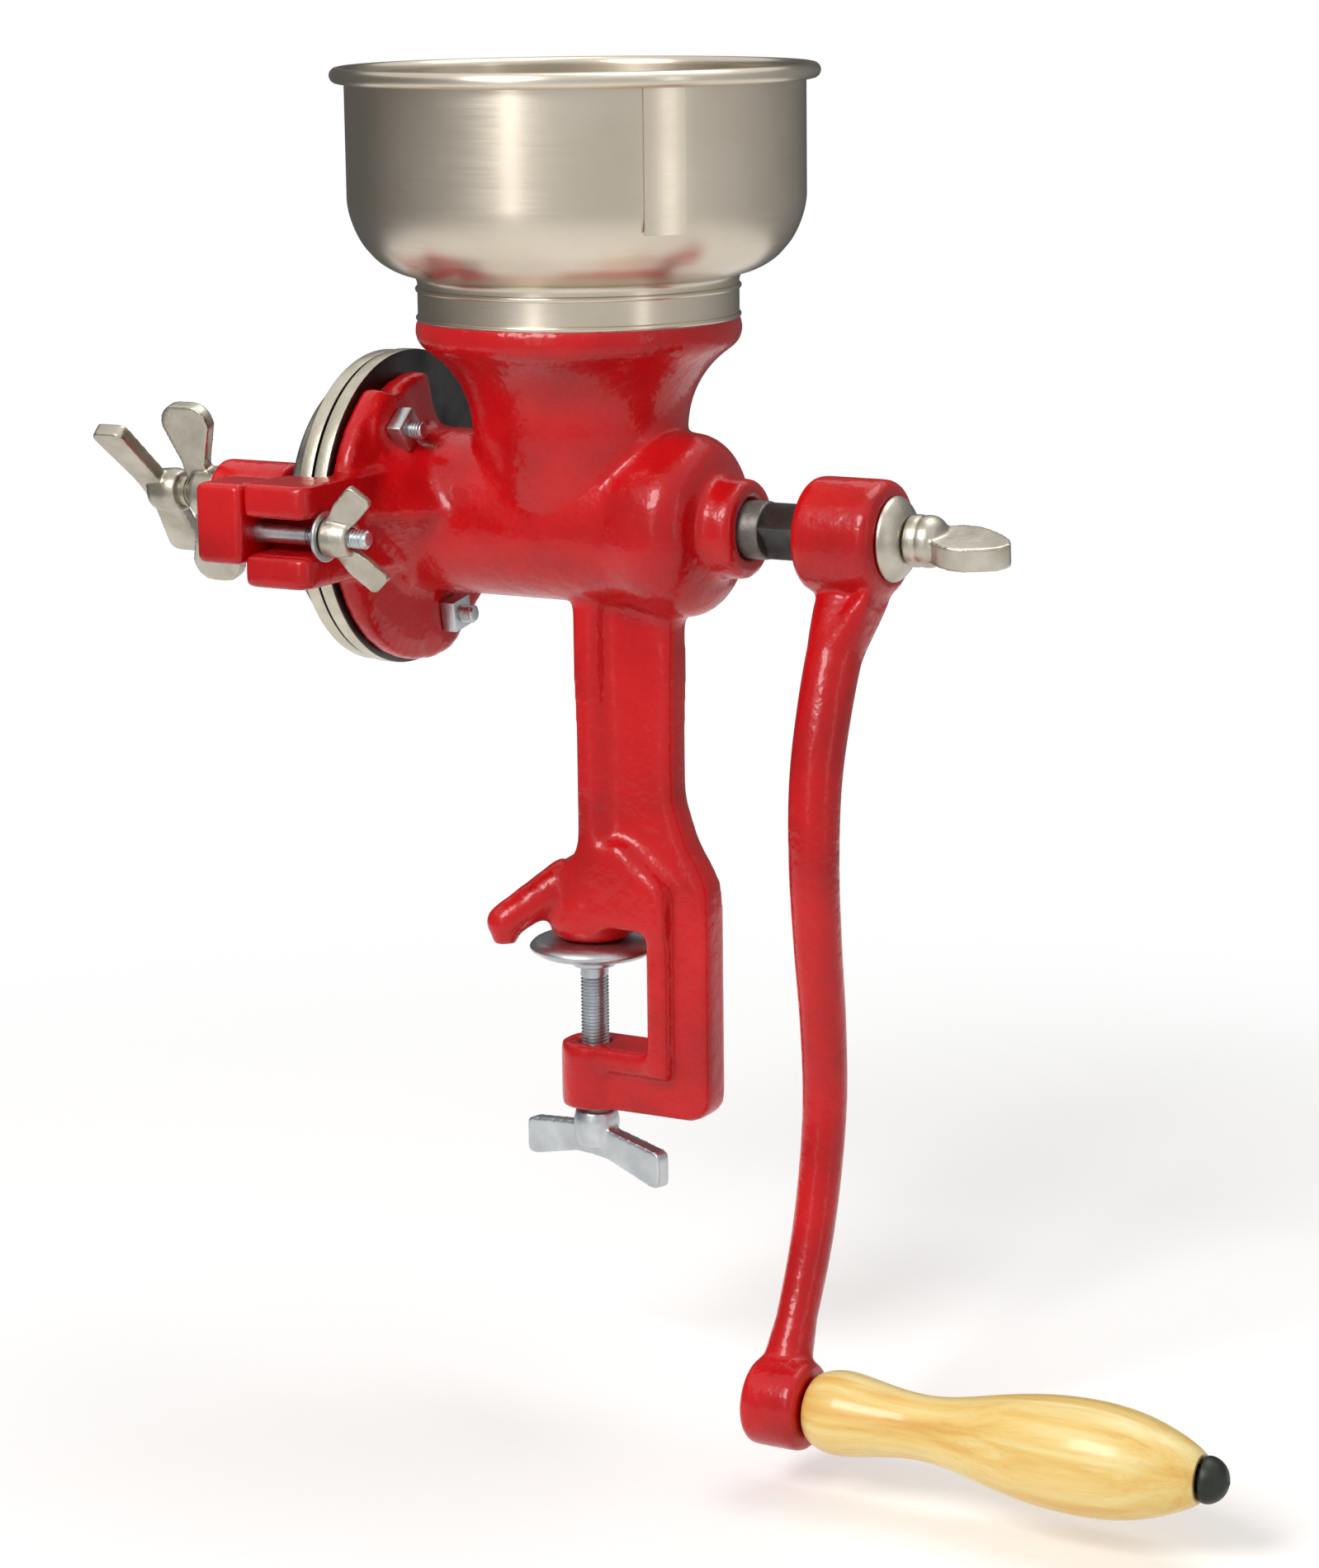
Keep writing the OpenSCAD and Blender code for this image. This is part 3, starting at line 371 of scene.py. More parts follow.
# %% Ease the body's corners
EASE_ROUNDS = 6
FLARE_ZONES = ((14, 84), (18, 78), (22, 72))
SHOULDER_X, SHOULDER_Z = (16, 35), (95, 165)
NOTCH_X, NOTCH_LOW = (-56, -48), 150
LIP_Z, LIP_R = (52, 58.5), 38


def between(value, limits):
    """Whether a value lies between two limits."""
    return limits[0] < value < limits[1]


to_mill = IN_MILL.inverted()
zones = [[v for v in bm.verts if between(v.co.z, flare)] for flare in FLARE_ZONES]
zones.append([v for v in bm.verts if between(v.co.x, SHOULDER_X) and between(v.co.z, SHOULDER_Z)])
zones.append([v for v in bm.verts if between(v.co.x, NOTCH_X) and v.co.z > NOTCH_LOW])
zones.append([v for v in bm.verts if between((to_mill @ v.co).z, LIP_Z) and v.co.xy.length > LIP_R])
for zone in zones:
    ease(bm, zone, EASE_ROUNDS)
mill_body = finish_piece(bm, "cast_body", "mill", red_enamel, "mill_body")

# %% [markdown]
# Inside the funnel and the barrel the corn keeps the iron bare, so the faces there get a second
# material. They are picked by where they are and by which way they face: in the funnel they
# look at the throat's axis, in the barrel at the shaft's.

# %% Bare iron inside
THROAT_R, FUNNEL_LOW, FUNNEL_LEAN = 45, 10, -0.05
BORE_R, BORE_X = 20.5, (-64, 50)


def paint_faces(piece, material, chosen):
    """Gives a second material to the faces whose place and direction in the mill are chosen."""
    piece.data.materials.append(material)
    count = 0
    for face in piece.data.polygons:
        if chosen(to_mill @ (face.center / MM), face.normal):
            face.material_index = 1
            count += 1
    print(piece.name, "has", count, "faces of", material.name)


def bare_inside(spot, normal):
    """Whether a face lies in the funnel or in the bore and looks at its axis."""
    outwards = Vector((spot.x, spot.y, 0))
    off_shaft = Vector((0, spot.y, spot.z))
    looks_in = normal.dot(outwards) < FUNNEL_LEAN * outwards.length
    in_funnel = spot.z > FUNNEL_LOW and outwards.length < THROAT_R and looks_in
    in_bore = between(spot.x, BORE_X) and off_shaft.length < BORE_R and normal.dot(off_shaft) < 0
    return in_funnel or in_bore


paint_faces(mill_body, bare_iron, bare_inside)

# %% [markdown]
# The crank arm is one casting too, a round bar between two bosses. A gusset, the hull of one ring
# of the bar and two points, leads from the hub's outer end into it. The real bar is about two
# millimetres slimmer than its solid, so between the bosses each vertex steps inwards along its
# normal, a little more towards the handle, where the bar tapers.

# %% Crank arm
ARM_VOXEL, ARM_ROUNDS = 1.0, 5
GUSSET, GUSSET_RING = [(106.5, -8, -13), (106.5, 8, -13)], (-39, -31)
BAR_START, BAR_END, BOSS_BLEND, SLIM, SLIM_TAPER = 22, 250, 12, 0.8, 0.5

bm = solid_copy("crank_arm")
to_crank = WITH_CRANK.inverted()
spots = [to_crank @ vert.co for vert in bm.verts]
hull(bm, [spot for spot in spots if between(spot.z, GUSSET_RING)] + GUSSET, WITH_CRANK)
new_skin(bm, ARM_VOXEL, ARM_ROUNDS)
bm.normal_update()
for vert in bm.verts:
    along = -(to_crank @ vert.co).z
    share = min(1, max(0, min(along - BAR_START, BAR_END - along) / BOSS_BLEND))
    vert.co -= vert.normal * share * (SLIM + SLIM_TAPER * along / CRANK_R)
finish_piece(bm, "cast_crank_arm", "rotor", red_enamel, "crank_arm")

# %% [markdown]
# The hopper is one sheet, spun into a straight wall that rounds into a bowl and drops into a
# neck over the throat's collar. A single line gives the outside of the sheet, and solidify adds
# its 0.9 mm inwards, after the normals are made right.

# %% Hopper sheet
NECK_R, WALL_R = 49.6, 70.5
NECK_BOTTOM, RIM_Z, SHEET = 62.3, 137, 0.9
BOWL = [(75.9, NECK_R, 2.2), (77.4, 58.6, 6.6), (91, WALL_R, 9)]
ROUND_STEPS = 128

bm = bmesh.new()
turn(bm, [(NECK_BOTTOM, NECK_R), *BOWL, (RIM_Z, WALL_R)], ROUND_STEPS, place=IN_MILL @ UPRIGHT)
clean(bm)
side = max(bm.faces, key=lambda face: face.calc_center_median().x)
if side.normal.x < 0:
    bmesh.ops.reverse_faces(bm, faces=bm.faces)
bmesh.ops.solidify(bm, geom=bm.faces, thickness=SHEET)
print("sheet:", len(bm.faces), "faces")

# %% [markdown]
# The rim is rolled over a wire and the neck has two small pressed beads: all are little circles
# spun round the axis. The wall was joined by a lap, a strip standing a little proud of it. It is
# a small face, spun through the angle that the lap covers.

# %% Rim, beads and lapped seam
RIM_R, WIRE_R, BEAD_R = 72.55, 2.44, 0.9
NECK_BEADS = ((72, 49.4), (NECK_BOTTOM + BEAD_R, 49.3))
SEAM_W, SEAM_T, SEAM_SINK, SEAM_LOW, SEAM_TOP = 13, 0.6, 0.3, 92, RIM_Z - 2
SEAM_TURN, SEAM_STEPS = math.radians(-38), 8


def bead(bm, z, r, bead_r):
    """A round ring of the given section round the upright axis of the mill."""
    shape = bmesh.new()
    bmesh.ops.create_circle(shape, segments=14, radius=bead_r)
    bmesh.ops.rotate(shape, verts=shape.verts, cent=(0, 0, 0), matrix=Matrix.Rotation(HALF / 2, 3, "X"))
    bmesh.ops.translate(shape, verts=shape.verts, vec=(r, 0, z))
    bmesh.ops.spin(shape, geom=shape.verts[:] + shape.edges[:], cent=(0, 0, 0), axis=(0, 0, 1),
                   angle=WHOLE, steps=ROUND_STEPS, use_merge=True)
    join(bm, shape, IN_MILL)


bead(bm, RIM_Z, RIM_R, WIRE_R)
for z, r in NECK_BEADS:
    bead(bm, z, r, BEAD_R)
lap_angle = SEAM_W / WALL_R
under, over = WALL_R - SEAM_SINK, WALL_R + SEAM_T
corners = ((under, SEAM_LOW), (over, SEAM_LOW), (over, SEAM_TOP), (under, SEAM_TOP))
lap = bmesh.new()
lap.faces.new([lap.verts.new((r, 0, z)) for r, z in corners])
bmesh.ops.spin(lap, geom=lap.verts[:] + lap.edges[:] + lap.faces[:], cent=(0, 0, 0), axis=(0, 0, 1),
               angle=lap_angle, steps=SEAM_STEPS)
join(bm, lap, IN_MILL @ Matrix.Rotation(SEAM_TURN - lap_angle / 2, 4, "Z"))
finish_piece(bm, "sheet_hopper", "hopper", tinned_sheet, "hopper")

# %% [markdown]
# Threads. A screw thread is a small triangle swept along a helix, and spin makes helices when
# each step also moves along the axis. The worm that carries the corn is the same thing with a
# tall, blunt section and a long lead.

# %% Sweep a helix
THREAD_STEPS, THREAD_DEPTH = 24, 0.55


def helix(bm, section, start, length, lead, steps, place):
    """Sweeps a closed section of (along, radius) points as a right-handed ridge."""
    shape = bmesh.new()
    shape.faces.new([shape.verts.new((start + x, 0, r)) for x, r in section])
    count = max(3, round(steps * length / lead))
    bmesh.ops.spin(shape, geom=shape.verts[:] + shape.edges[:] + shape.faces[:], cent=(0, 0, 0),
                   axis=(1, 0, 0), dvec=(length / count, 0, 0), angle=WHOLE * length / lead, steps=count)
    join(bm, shape, place)


def threaded_rod(bm, start, end, d, pitch, low, high, place):
    """A rod with rounded ends and a thread cut from low to high."""
    rod_r = d / 2
    core = rod_r - THREAD_DEPTH * pitch
    first = (start, core, 0.4) if low <= start else (start, rod_r, 0.6)
    last = (end, core if high >= end else rod_r, 0.4)
    steps = [(low, rod_r), (low, core), (high, core), (high, rod_r)]
    middle = [(x, r) for x, r in steps if start < x < end]
    turn(bm, [(start, 0), first, *middle, last, (end, 0)], 40, place=place)
    root = core - 0.1
    section = [(0, root), (pitch * 0.42, rod_r), (pitch * 0.55, rod_r), (pitch * 0.97, root)]
    helix(bm, section, low, high - low - pitch, pitch, THREAD_STEPS, place)


print("threads have", THREAD_STEPS, "steps a turn")

# %% [markdown]
# The shaft: a nose with a seat for the thrust ball, the worm, a bright journal that runs in the
# bearing, and a square that drives the crank. A spin of four steps makes the square, and its
# profile turns back at the end for the bolt's hole.

# %% Worm shaft
NOSE, WORM_START, JOURNAL_START, JOURNAL_END = -86.8, -61, 40, 66.5
SHAFT = [(NOSE, 0), (NOSE, 8, 1.0), (WORM_START, 8), (WORM_START, 10), (34, 10), (34, 16.5, 0.8),
         (38.7, 16.5, 0.8), (38.7, 9), (JOURNAL_END, 9, 0.8), (JOURNAL_END, 0)]
FLIGHT_START, FLIGHT_LEN, WORM_LEAD, WORM_STEPS = -58, 92, 34, 28
WORM_SECTION = [(-2.6, 9.2), (-1.5, 17.5), (1.5, 17.5), (2.6, 9.2)]
SQUARE_START, SQUARE_END, SQUARE_W, SQUARE_EDGE = 60, 107, 12.7, 0.8
CORNER_R, BORE_CORNER_R, BORE_END = SQUARE_W / math.sqrt(2), 6.4, 76
SQUARE = [(SQUARE_START, 0), (SQUARE_START, CORNER_R), (SQUARE_END, CORNER_R),
          (SQUARE_END, BORE_CORNER_R), (BORE_END, BORE_CORNER_R), (BORE_END, 0)]

bm = bmesh.new()
turn(bm, SHAFT, place=WITH_CRANK)
helix(bm, WORM_SECTION, FLIGHT_START, FLIGHT_LEN, WORM_LEAD, WORM_STEPS, WITH_CRANK)
square = bmesh.new()
turn(square, SQUARE, 4)
bmesh.ops.remove_doubles(square, verts=square.verts, dist=SAME_SPOT)
outer = [edge for edge in square.edges if all(v.co.yz.length > CORNER_R - 0.1 for v in edge.verts)]
long_edges = [edge for edge in outer if edge.calc_length() > SQUARE_END - SQUARE_START - 1]
bmesh.ops.bevel(square, geom=long_edges, offset=SQUARE_EDGE, offset_type="OFFSET", affect="EDGES",
                segments=2, profile=0.5, material=-1)
join(bm, square, WITH_CRANK)
worm_shaft = finish_piece(bm, "worm_shaft_turned", "rotor", dark_steel_and_painted_shade, "worm_shaft")
journal = (JOURNAL_START, JOURNAL_END + 0.1)
paint_faces(worm_shaft, bare_iron, lambda spot, normal: between(spot.x, journal))

# %% [markdown]
# The two grinding plates are rings whose faces carry slanted ribs with grooves between them. A
# rib is a cube, scaled and eased, and a spin that duplicates sets eighteen of them round the
# plate. Only the rims show when the mill is closed, but the faces do the work. The real plates
# are tinned all over. Their faces and backs are given dark steel as painted shade, and only the
# rims keep their tin.

# %% Grinding plates
RIBS, RIB_H, RIB_W, RIB_SLANT, RIB_SINK = 18, 1.2, 5.2, math.radians(8), 0.4
FIXED_BACK, FIXED_FACE, FIXED_R, FIXED_BORE_R = -63, -68, 50, 19.5
TURNING_BACK, TURNING_FACE, TURNING_R, TURNING_BORE_R = -73.8, -68.8, 49.5, 8.2
RIM_W, HUB_W, RIB_LAP = 4, 5, 0.5


def block(bm, size, middle, edge, place):
    """A box with eased edges."""
    shape = bmesh.new()
    bmesh.ops.create_cube(shape, size=1)
    bmesh.ops.transform(shape, matrix=Matrix.Translation(middle) @ Matrix.Diagonal((*size, 1)),
                        verts=shape.verts)
    bmesh.ops.bevel(shape, geom=shape.edges[:], offset=edge, offset_type="OFFSET", affect="EDGES",
                    segments=2, profile=0.5, material=-1)
    join(bm, shape, place)


def grinding_plate(back, face, outer, inner, place):
    """A ring plate from its back to its ribbed face."""
    bm = bmesh.new()
    up = 1 if face > back else -1
    floor = face - up * RIB_H
    rim, hub = outer - RIM_W, inner + HUB_W
    turn(bm, [(back, inner, 0.4), (back, outer, 0.6), (face, outer, 0.6), (face, rim), (floor, rim),
              (floor, hub), (face, hub), (face, inner, 0.4)], 96, True, place)
    low, high, rib_t = hub - RIB_LAP, rim + RIB_LAP, RIB_H + RIB_SINK
    ribs = bmesh.new()
    block(ribs, (rib_t, high - low, RIB_W), (face - up * rib_t / 2, (low + high) / 2, 0), 0.3,
          Matrix.Rotation(RIB_SLANT, 4, "X"))
    bmesh.ops.spin(ribs, geom=ribs.verts[:] + ribs.edges[:] + ribs.faces[:], cent=(0, 0, 0),
                   axis=(1, 0, 0), angle=WHOLE * (RIBS - 1) / RIBS, steps=RIBS - 1, use_duplicate=True)
    join(bm, ribs, place)
    return bm


bm = grinding_plate(FIXED_BACK, FIXED_FACE, FIXED_R, FIXED_BORE_R, IN_MILL)
fixed_plate = finish_piece(bm, "fixed_plate", "mill", tinned_iron, "stationary_plate")
bm = grinding_plate(TURNING_BACK, TURNING_FACE, TURNING_R, TURNING_BORE_R, WITH_CRANK)
turning_plate = finish_piece(bm, "turning_plate", "rotor", tinned_iron, "rotating_plate")
# Painted shade: the plates' faces and backs get dark steel, though the real plates are tinned all over.
for plate in (fixed_plate, turning_plate):
    paint_faces(plate, dark_steel_and_painted_shade, lambda spot, normal: abs(normal.x) > 0.7)

# %% [markdown]
# Behind the turning plate sits its carrier, a shallow dish with a hub, held by two screws with
# six-sided nuts. A six-sided nut is a profile turned in only six steps.

# %% Plate carrier and its screws
CARRIER_FRONT, SCREW_R, SCREW_TURNS, NUT_T = -81.8, 30, (0, HALF), 5.5
DISH = [(-73.8, 8.1), (-73.8, 42, 0.8), (CARRIER_FRONT, 42, 1.5), (CARRIER_FRONT, 36, 0.8),
        (-78.8, 35, 1.0), (-78.8, 15, 1.5), (-85.8, 15, 1.2), (-85.8, 8.1, 0.5)]
SCREW_PAD = [(-77, 0), (-77, 8), (CARRIER_FRONT, 8, 0.8), (CARRIER_FRONT, 0)]
SCREW = [(-69, 0), (-69, 5.6, 0.3), (-71.9, 2.9), (-88.8, 2.9, 0.6), (-88.8, 0)]
NUT_END = CARRIER_FRONT - NUT_T
SIX_SIDED_NUT = [(CARRIER_FRONT, 3), (CARRIER_FRONT, 5.75), (NUT_END + 1, 5.75), (NUT_END, 5), (NUT_END, 3)]


def beside_shaft(place, angle, r):
    """A place beside the shaft's line, turned round it by an angle."""
    return place @ Matrix.Rotation(angle, 4, "X") @ Matrix.Translation((0, r, 0))


carrier, screws, nuts = bmesh.new(), bmesh.new(), bmesh.new()
turn(carrier, DISH, 96, True, WITH_CRANK)
for angle in SCREW_TURNS:
    seat = beside_shaft(WITH_CRANK, angle, SCREW_R)
    turn(carrier, SCREW_PAD, 32, place=seat)
    turn(screws, SCREW, 32, place=seat)
    turn(nuts, SIX_SIDED_NUT, 6, True, seat)
finish_piece(carrier, "dish_carrier", "rotor", bare_iron, "plate_carrier")
finish_piece(screws, "carrier_screw_pair", "rotor", zinc_steel, "carrier_screws")
finish_piece(nuts, "carrier_nut_pair", "rotor", zinc_steel, "carrier_nuts")

# %% [markdown]
# The fixed plate is held by two countersunk bolts. Their heads are sunk in its face, and their
# threaded ends stick out behind the flange with square nuts, which are eased blocks.

# %% Fixed plate's bolts and square nuts
PLATE_BOLT_R, PLATE_BOLT_TURNS, PLATE_BOLT_D, PLATE_BOLT_PITCH = 35, (128, 280), 5.8, 1.0
NUT_SEAT, NUT_W, NUT_EDGE = -53.8, 10, 0.7
BOLT_END = NUT_SEAT + NUT_T + 4.5
SUNK_HEAD = [(-67.8, 0), (-67.8, 5.7, 0.3), (-64.9, 2.9), (-60, 2.9), (-60, 0)]

bolts, nuts = bmesh.new(), bmesh.new()
for degrees in PLATE_BOLT_TURNS:
    seat = beside_shaft(IN_MILL, math.radians(degrees), PLATE_BOLT_R)
    turn(bolts, SUNK_HEAD, 32, place=seat)
    threaded_rod(bolts, -61, BOLT_END, PLATE_BOLT_D, PLATE_BOLT_PITCH, -59, BOLT_END + 0.1, seat)
    block(nuts, (NUT_T, NUT_W, NUT_W), (NUT_SEAT + NUT_T / 2, 0, 0), NUT_EDGE, seat)
finish_piece(bolts, "plate_bolt_pair", "mill", zinc_steel, "stationary_plate_bolts")
finish_piece(nuts, "plate_nut_pair", "mill", zinc_steel, "stationary_plate_nuts")

# %% [markdown]
# Two long bolts with square heads hold the bridge to the body's ears, each with a washer. Heads
# are eased blocks, rods are threaded where the nuts run, and a washer is a turned ring.

# %% Bridge bolts and washers
BOLT_Y, BOLT_D, BOLT_PITCH, BLOCK_FRONT = 68, 6, 1.27, -92
BOLT_TIP, BOLT_THREAD, HEAD_T, HEAD_W = -34.5, -56, 4.5, 10
FLAT_WASHER = [(-50.7, 3.2), (-50.7, 7.8, 0.3), (-49.5, 7.8, 0.3), (-49.5, 3.2, 0.2)]
SIDES = (("near", -BOLT_Y), ("far", BOLT_Y))

bolts = bmesh.new()
for _, y in SIDES:
    seat = IN_MILL @ Matrix.Translation((0, y, 0))
    block(bolts, (HEAD_T, HEAD_W, HEAD_W), (BLOCK_FRONT - 0.6, 0, 0), 0.8, seat)
    threaded_rod(bolts, BLOCK_FRONT, BOLT_TIP, BOLT_D, BOLT_PITCH, BOLT_THREAD, BOLT_TIP + 0.1, seat)
finish_piece(bolts, "bridge_bolt_pair", "mill", zinc_steel, "bridge_bolts")
for side_name, y in SIDES:
    bm = bmesh.new()
    turn(bm, FLAT_WASHER, 48, True, IN_MILL @ Matrix.Translation((0, y, 0)))
    finish_piece(bm, "flat_washer_" + side_name, "washer_" + side_name, zinc_steel,
                 "bridge_washer_" + side_name)

# %% [markdown]
# Wing nuts. Wings are flat blades: an outline of a few points becomes a face, a vertex bevel
# rounds its tips, and an extrude makes it thick. A fine new skin melts blades and boss together,
# because the real nut is one small casting.

# %% Wing nuts
NUT_START, NUT_H, NUT_WING_T = -49.2, 9, 2.6
NUT_BOSS = [(0, 3.2), (0, 6.3, 0.5), (4, 6.1), (NUT_H, 5.3, 0.8), (NUT_H, 3.2)]
NUT_WING = [(1.0, 3.4), (8.4, 3.2), (12.6, 6.4), (19.2, 12.8, 1.8), (12.6, 18.6, 1.8), (5.4, 12), (1.6, 6.5)]
NUT_TURNS = {"near": math.radians(111), "far": math.radians(105)}


def blade(bm, outline, thick, place):
    """A flat plate in the XY plane. Points with a third value get a round of that size."""
    shape = bmesh.new()
    points = [shape.verts.new((p[0], p[1], -thick / 2)) for p in outline]
    shape.faces.new(points)
    round_corners(shape, points, outline)
    raised = bmesh.ops.extrude_face_region(shape, geom=shape.faces[:])["geom"]
    top = [part for part in raised if isinstance(part, bmesh.types.BMVert)]
    bmesh.ops.translate(shape, verts=top, vec=(0, 0, thick))
    join(bm, shape, place)


def melt(bm, voxel, rounds):
    """Turns the shells outwards and melts them together."""
    clean(bm)
    new_skin(bm, voxel, rounds)


for side_name, y in SIDES:
    bm = bmesh.new()
    nut_turn = Matrix.Rotation(NUT_TURNS[side_name], 4, "X")
    at_nut = IN_MILL @ Matrix.Translation((NUT_START, y, 0)) @ nut_turn
    turn(bm, NUT_BOSS, 40, True, at_nut)
    for half in (0, HALF):
        blade(bm, NUT_WING, NUT_WING_T, at_nut @ Matrix.Rotation(half, 4, "X"))
    melt(bm, 0.4, 3)
    finish_piece(bm, "wing_nut_cast_" + side_name, "wing_nut_" + side_name, nickel_steel,
                 "wing_nut_" + side_name)

# %% [markdown]
# The bridge is a bow: a bored boss in the middle, two arms that slope back to the ears, and a
# block at each end that stands a little higher than its arm. Tube, arms and blocks are plain
# shapes of a few points, set in place twice, once mirrored, and melted into one casting.

# %% Bridge
BRIDGE_FRONT, BOSS_REAR, BOSS_R, BOSS_BORE_R, BLOCK_REAR = -135, -107, 11.5, 5.5, -75
BOSS = [(BRIDGE_FRONT, BOSS_BORE_R), (BRIDGE_FRONT, BOSS_R, 1.5), (BOSS_REAR, BOSS_R, 1.5),
        (BOSS_REAR, BOSS_BORE_R)]
ARM = [(-129, 6.5), (-129, 10), (-95, 59), (-84, 59), (-107, 9), (-107, 6.5)]
ARM_H, ARM_Z = 15, -0.5
BLOCK_SIZE = (BLOCK_REAR - BLOCK_FRONT, 20, 25)
BLOCK_MIDDLE = ((BLOCK_FRONT + BLOCK_REAR) / 2, BOLT_Y - 0.4, 3)

bm = bmesh.new()
turn(bm, BOSS, 48, True, IN_MILL)
for side in (1, -1):
    half_bow = IN_MILL @ Matrix.Diagonal((1, side, 1, 1))
    blade(bm, ARM, ARM_H, half_bow @ Matrix.Translation((0, 0, ARM_Z)))
    block(bm, BLOCK_SIZE, BLOCK_MIDDLE, 2, half_bow)
melt(bm, 0.9, 4)
finish_piece(bm, "cast_bridge", "mill", red_enamel, "bridge")

# %% [markdown]
# The adjusting screw pushes a steel ball against the shaft's nose. Its head is a cone that flares
# into two broad blades, which sweep back from the bridge, so fingers clear it. Head and blades
# melt into one casting, and the threaded rod is joined to it.

# %% Adjusting screw and ball
HEAD_X, TIP_X, HEAD_TURN = -152, -94, math.radians(-45)
ADJUSTER_D, ADJUSTER_PITCH, ADJUSTER_THREAD = 10, 1.5, (HEAD_X + 3, TIP_X - 2)
HEAD_BOSS = [(-0.5, 0), (-0.5, 6.6), (3, 7.5, 1.0), (11, 6.8, 2.0), (13, 0)]
BIG_WING = [(3.2, 0), (14.5, 0), (15, 8), (19.8, 27), (20, 31, 2.6), (8, 31, 2.6), (7.6, 27), (5, 8)]
BIG_WING_T, HEAD_VOXEL, HEAD_ROUNDS = 5, 0.55, 4
FLIP = Matrix.Diagonal((-1, 1, 1, 1))
BALL_X, BALL_R = -90.4, 4.5


def wing_head(bm, place):
    """A conical boss with two swept blades that grows along X."""
    turn(bm, HEAD_BOSS, 48, place=place)
    for half in (0, HALF):
        blade(bm, BIG_WING, BIG_WING_T, place @ Matrix.Rotation(half, 4, "X"))
    melt(bm, HEAD_VOXEL, HEAD_ROUNDS)


bm = bmesh.new()
at_head = IN_MILL @ Matrix.Translation((HEAD_X, 0, 0))
wing_head(bm, at_head @ FLIP @ Matrix.Rotation(HEAD_TURN, 4, "X"))
threaded_rod(bm, HEAD_X - 1, TIP_X, ADJUSTER_D, ADJUSTER_PITCH, *ADJUSTER_THREAD, IN_MILL)
finish_piece(bm, "adjusting_screw_cast", "adjuster", nickel_steel, "adjusting_screw")

bm = bmesh.new()
bmesh.ops.create_uvsphere(bm, u_segments=32, v_segments=20, radius=BALL_R,
                          matrix=IN_MILL @ Matrix.Translation((BALL_X, 0, 0)))
finish_piece(bm, "steel_ball", "thrust", zinc_steel, "thrust_ball")

# %% [markdown]
# A lock nut holds the adjusting screw. Its two paddles are leaf-shaped and broader than a wing
# nut's, but they are made in the same way.

# %% Lock nut
LOCK_BOSS = [(0, 5.2), (0, 9, 0.6), (-8, 8.6), (-10.5, 7.6, 1.2), (-10.5, 5.2)]
PADDLE = [(-13, 5.4), (-4.4, 5.4), (-4.2, 11), (-1.4, 19), (0.4, 24),
          (0, 31.5, 6), (-17.6, 31.5, 6), (-18, 24), (-16.2, 19), (-13.4, 11)]
PADDLE_T, PADDLE_TURNS = 4.5, (math.radians(108), math.radians(288))

bm = bmesh.new()
at_lock = IN_MILL @ Matrix.Translation((BRIDGE_FRONT - 0.3, 0, 0))
turn(bm, LOCK_BOSS, 48, True, at_lock)
for angle in PADDLE_TURNS:
    blade(bm, PADDLE, PADDLE_T, at_lock @ Matrix.Rotation(angle, 4, "X"))
melt(bm, 0.5, 4)
finish_piece(bm, "lock_nut_cast", "lock_nut", nickel_steel, "lock_wing_nut")

# %% [markdown]
# A domed washer and a thumb bolt hold the crank on its square. The bolt's boss carries a turned
# groove, so its profile dips once, and a thick flat spade with a round end grows out of it and
# droops a little.

# %% Crank washer and bolt
DOMED_WASHER = [(108.3, 4.2), (108.3, 13, 0.4), (109.4, 13, 0.8), (111.6, 11.2, 2.0), (113.5, 8),
                (114, 6), (114, 4.2)]
BOLT_HEAD, BOLT_TURN = 114.3, math.radians(14)
THUMB_END, THUMB_D, THUMB_PITCH, THUMB_THREAD = 86, 8, 1.25, (85, 106)
BOLT_BOSS = [(0, 0), (0, 8, 0.6), (3.4, 8, 0.4), (4, 7.2), (4.6, 8, 0.4), (9, 7.8, 2.5), (13, 0)]
SPADE = [(4, 5), (9, 6.6), (14, 9.6, 4), (23, 9.2, 8), (32, 2.4, 3),
         (32, -2.4, 3), (23, -9.2, 8), (14, -9.6, 4), (9, -6.6), (4, -5)]
SPADE_T, DROOP = 7.6, math.radians(5)

bm = bmesh.new()
turn(bm, DOMED_WASHER, 64, True, IN_MILL)
finish_piece(bm, "domed_washer", "crank_washer", nickel_steel, "crank_washer")

bm = bmesh.new()
with_bolt = IN_MILL @ Matrix.Rotation(BOLT_TURN, 4, "X")
at_boss = with_bolt @ Matrix.Translation((BOLT_HEAD, 0, 0))
turn(bm, BOLT_BOSS, 64, place=at_boss)
blade(bm, SPADE, SPADE_T, at_boss @ Matrix.Rotation(DROOP, 4, "Y"))
melt(bm, 0.45, 6)
threaded_rod(bm, THUMB_END, BOLT_HEAD + 2, THUMB_D, THUMB_PITCH, *THUMB_THREAD, with_bolt)
finish_piece(bm, "thumb_bolt", "crank_bolt", nickel_steel, "crank_bolt")

# %% [markdown]
# The handle is a turned grip that spins on a riveted spindle with a black domed end. The grip's
# profile has few points, so a subdivision surface rounds it, and the turned ends stay flat.

# %% Spindle and grip
GRIP_START, GRIP_LEN, GRIP_BORE_R, CAP = 104.45, 127, 4.2, 231.75
GRIP = [(0, 19.6), (0.04, 24.8), (0.09, 26.6), (0.17, 22.8), (0.26, 19.2), (0.35, 19.8),
        (0.47, 27.5), (0.6, 33.7), (0.74, 35.2), (0.86, 30.8), (0.95, 21.6), (1, 14.6)]
SPINDLE = [(83.65, 0), (83.65, 6.4, 0.8), (85.6, 6.4), (85.6, 4), (CAP + 1, 4), (CAP + 1, 0)]
CAP_DOME = [(CAP, 0), (CAP, 7.0, 0.4), (CAP + 2, 7.0, 1.0), (CAP + 5.4, 5.2, 2.0), (CAP + 7.5, 0)]

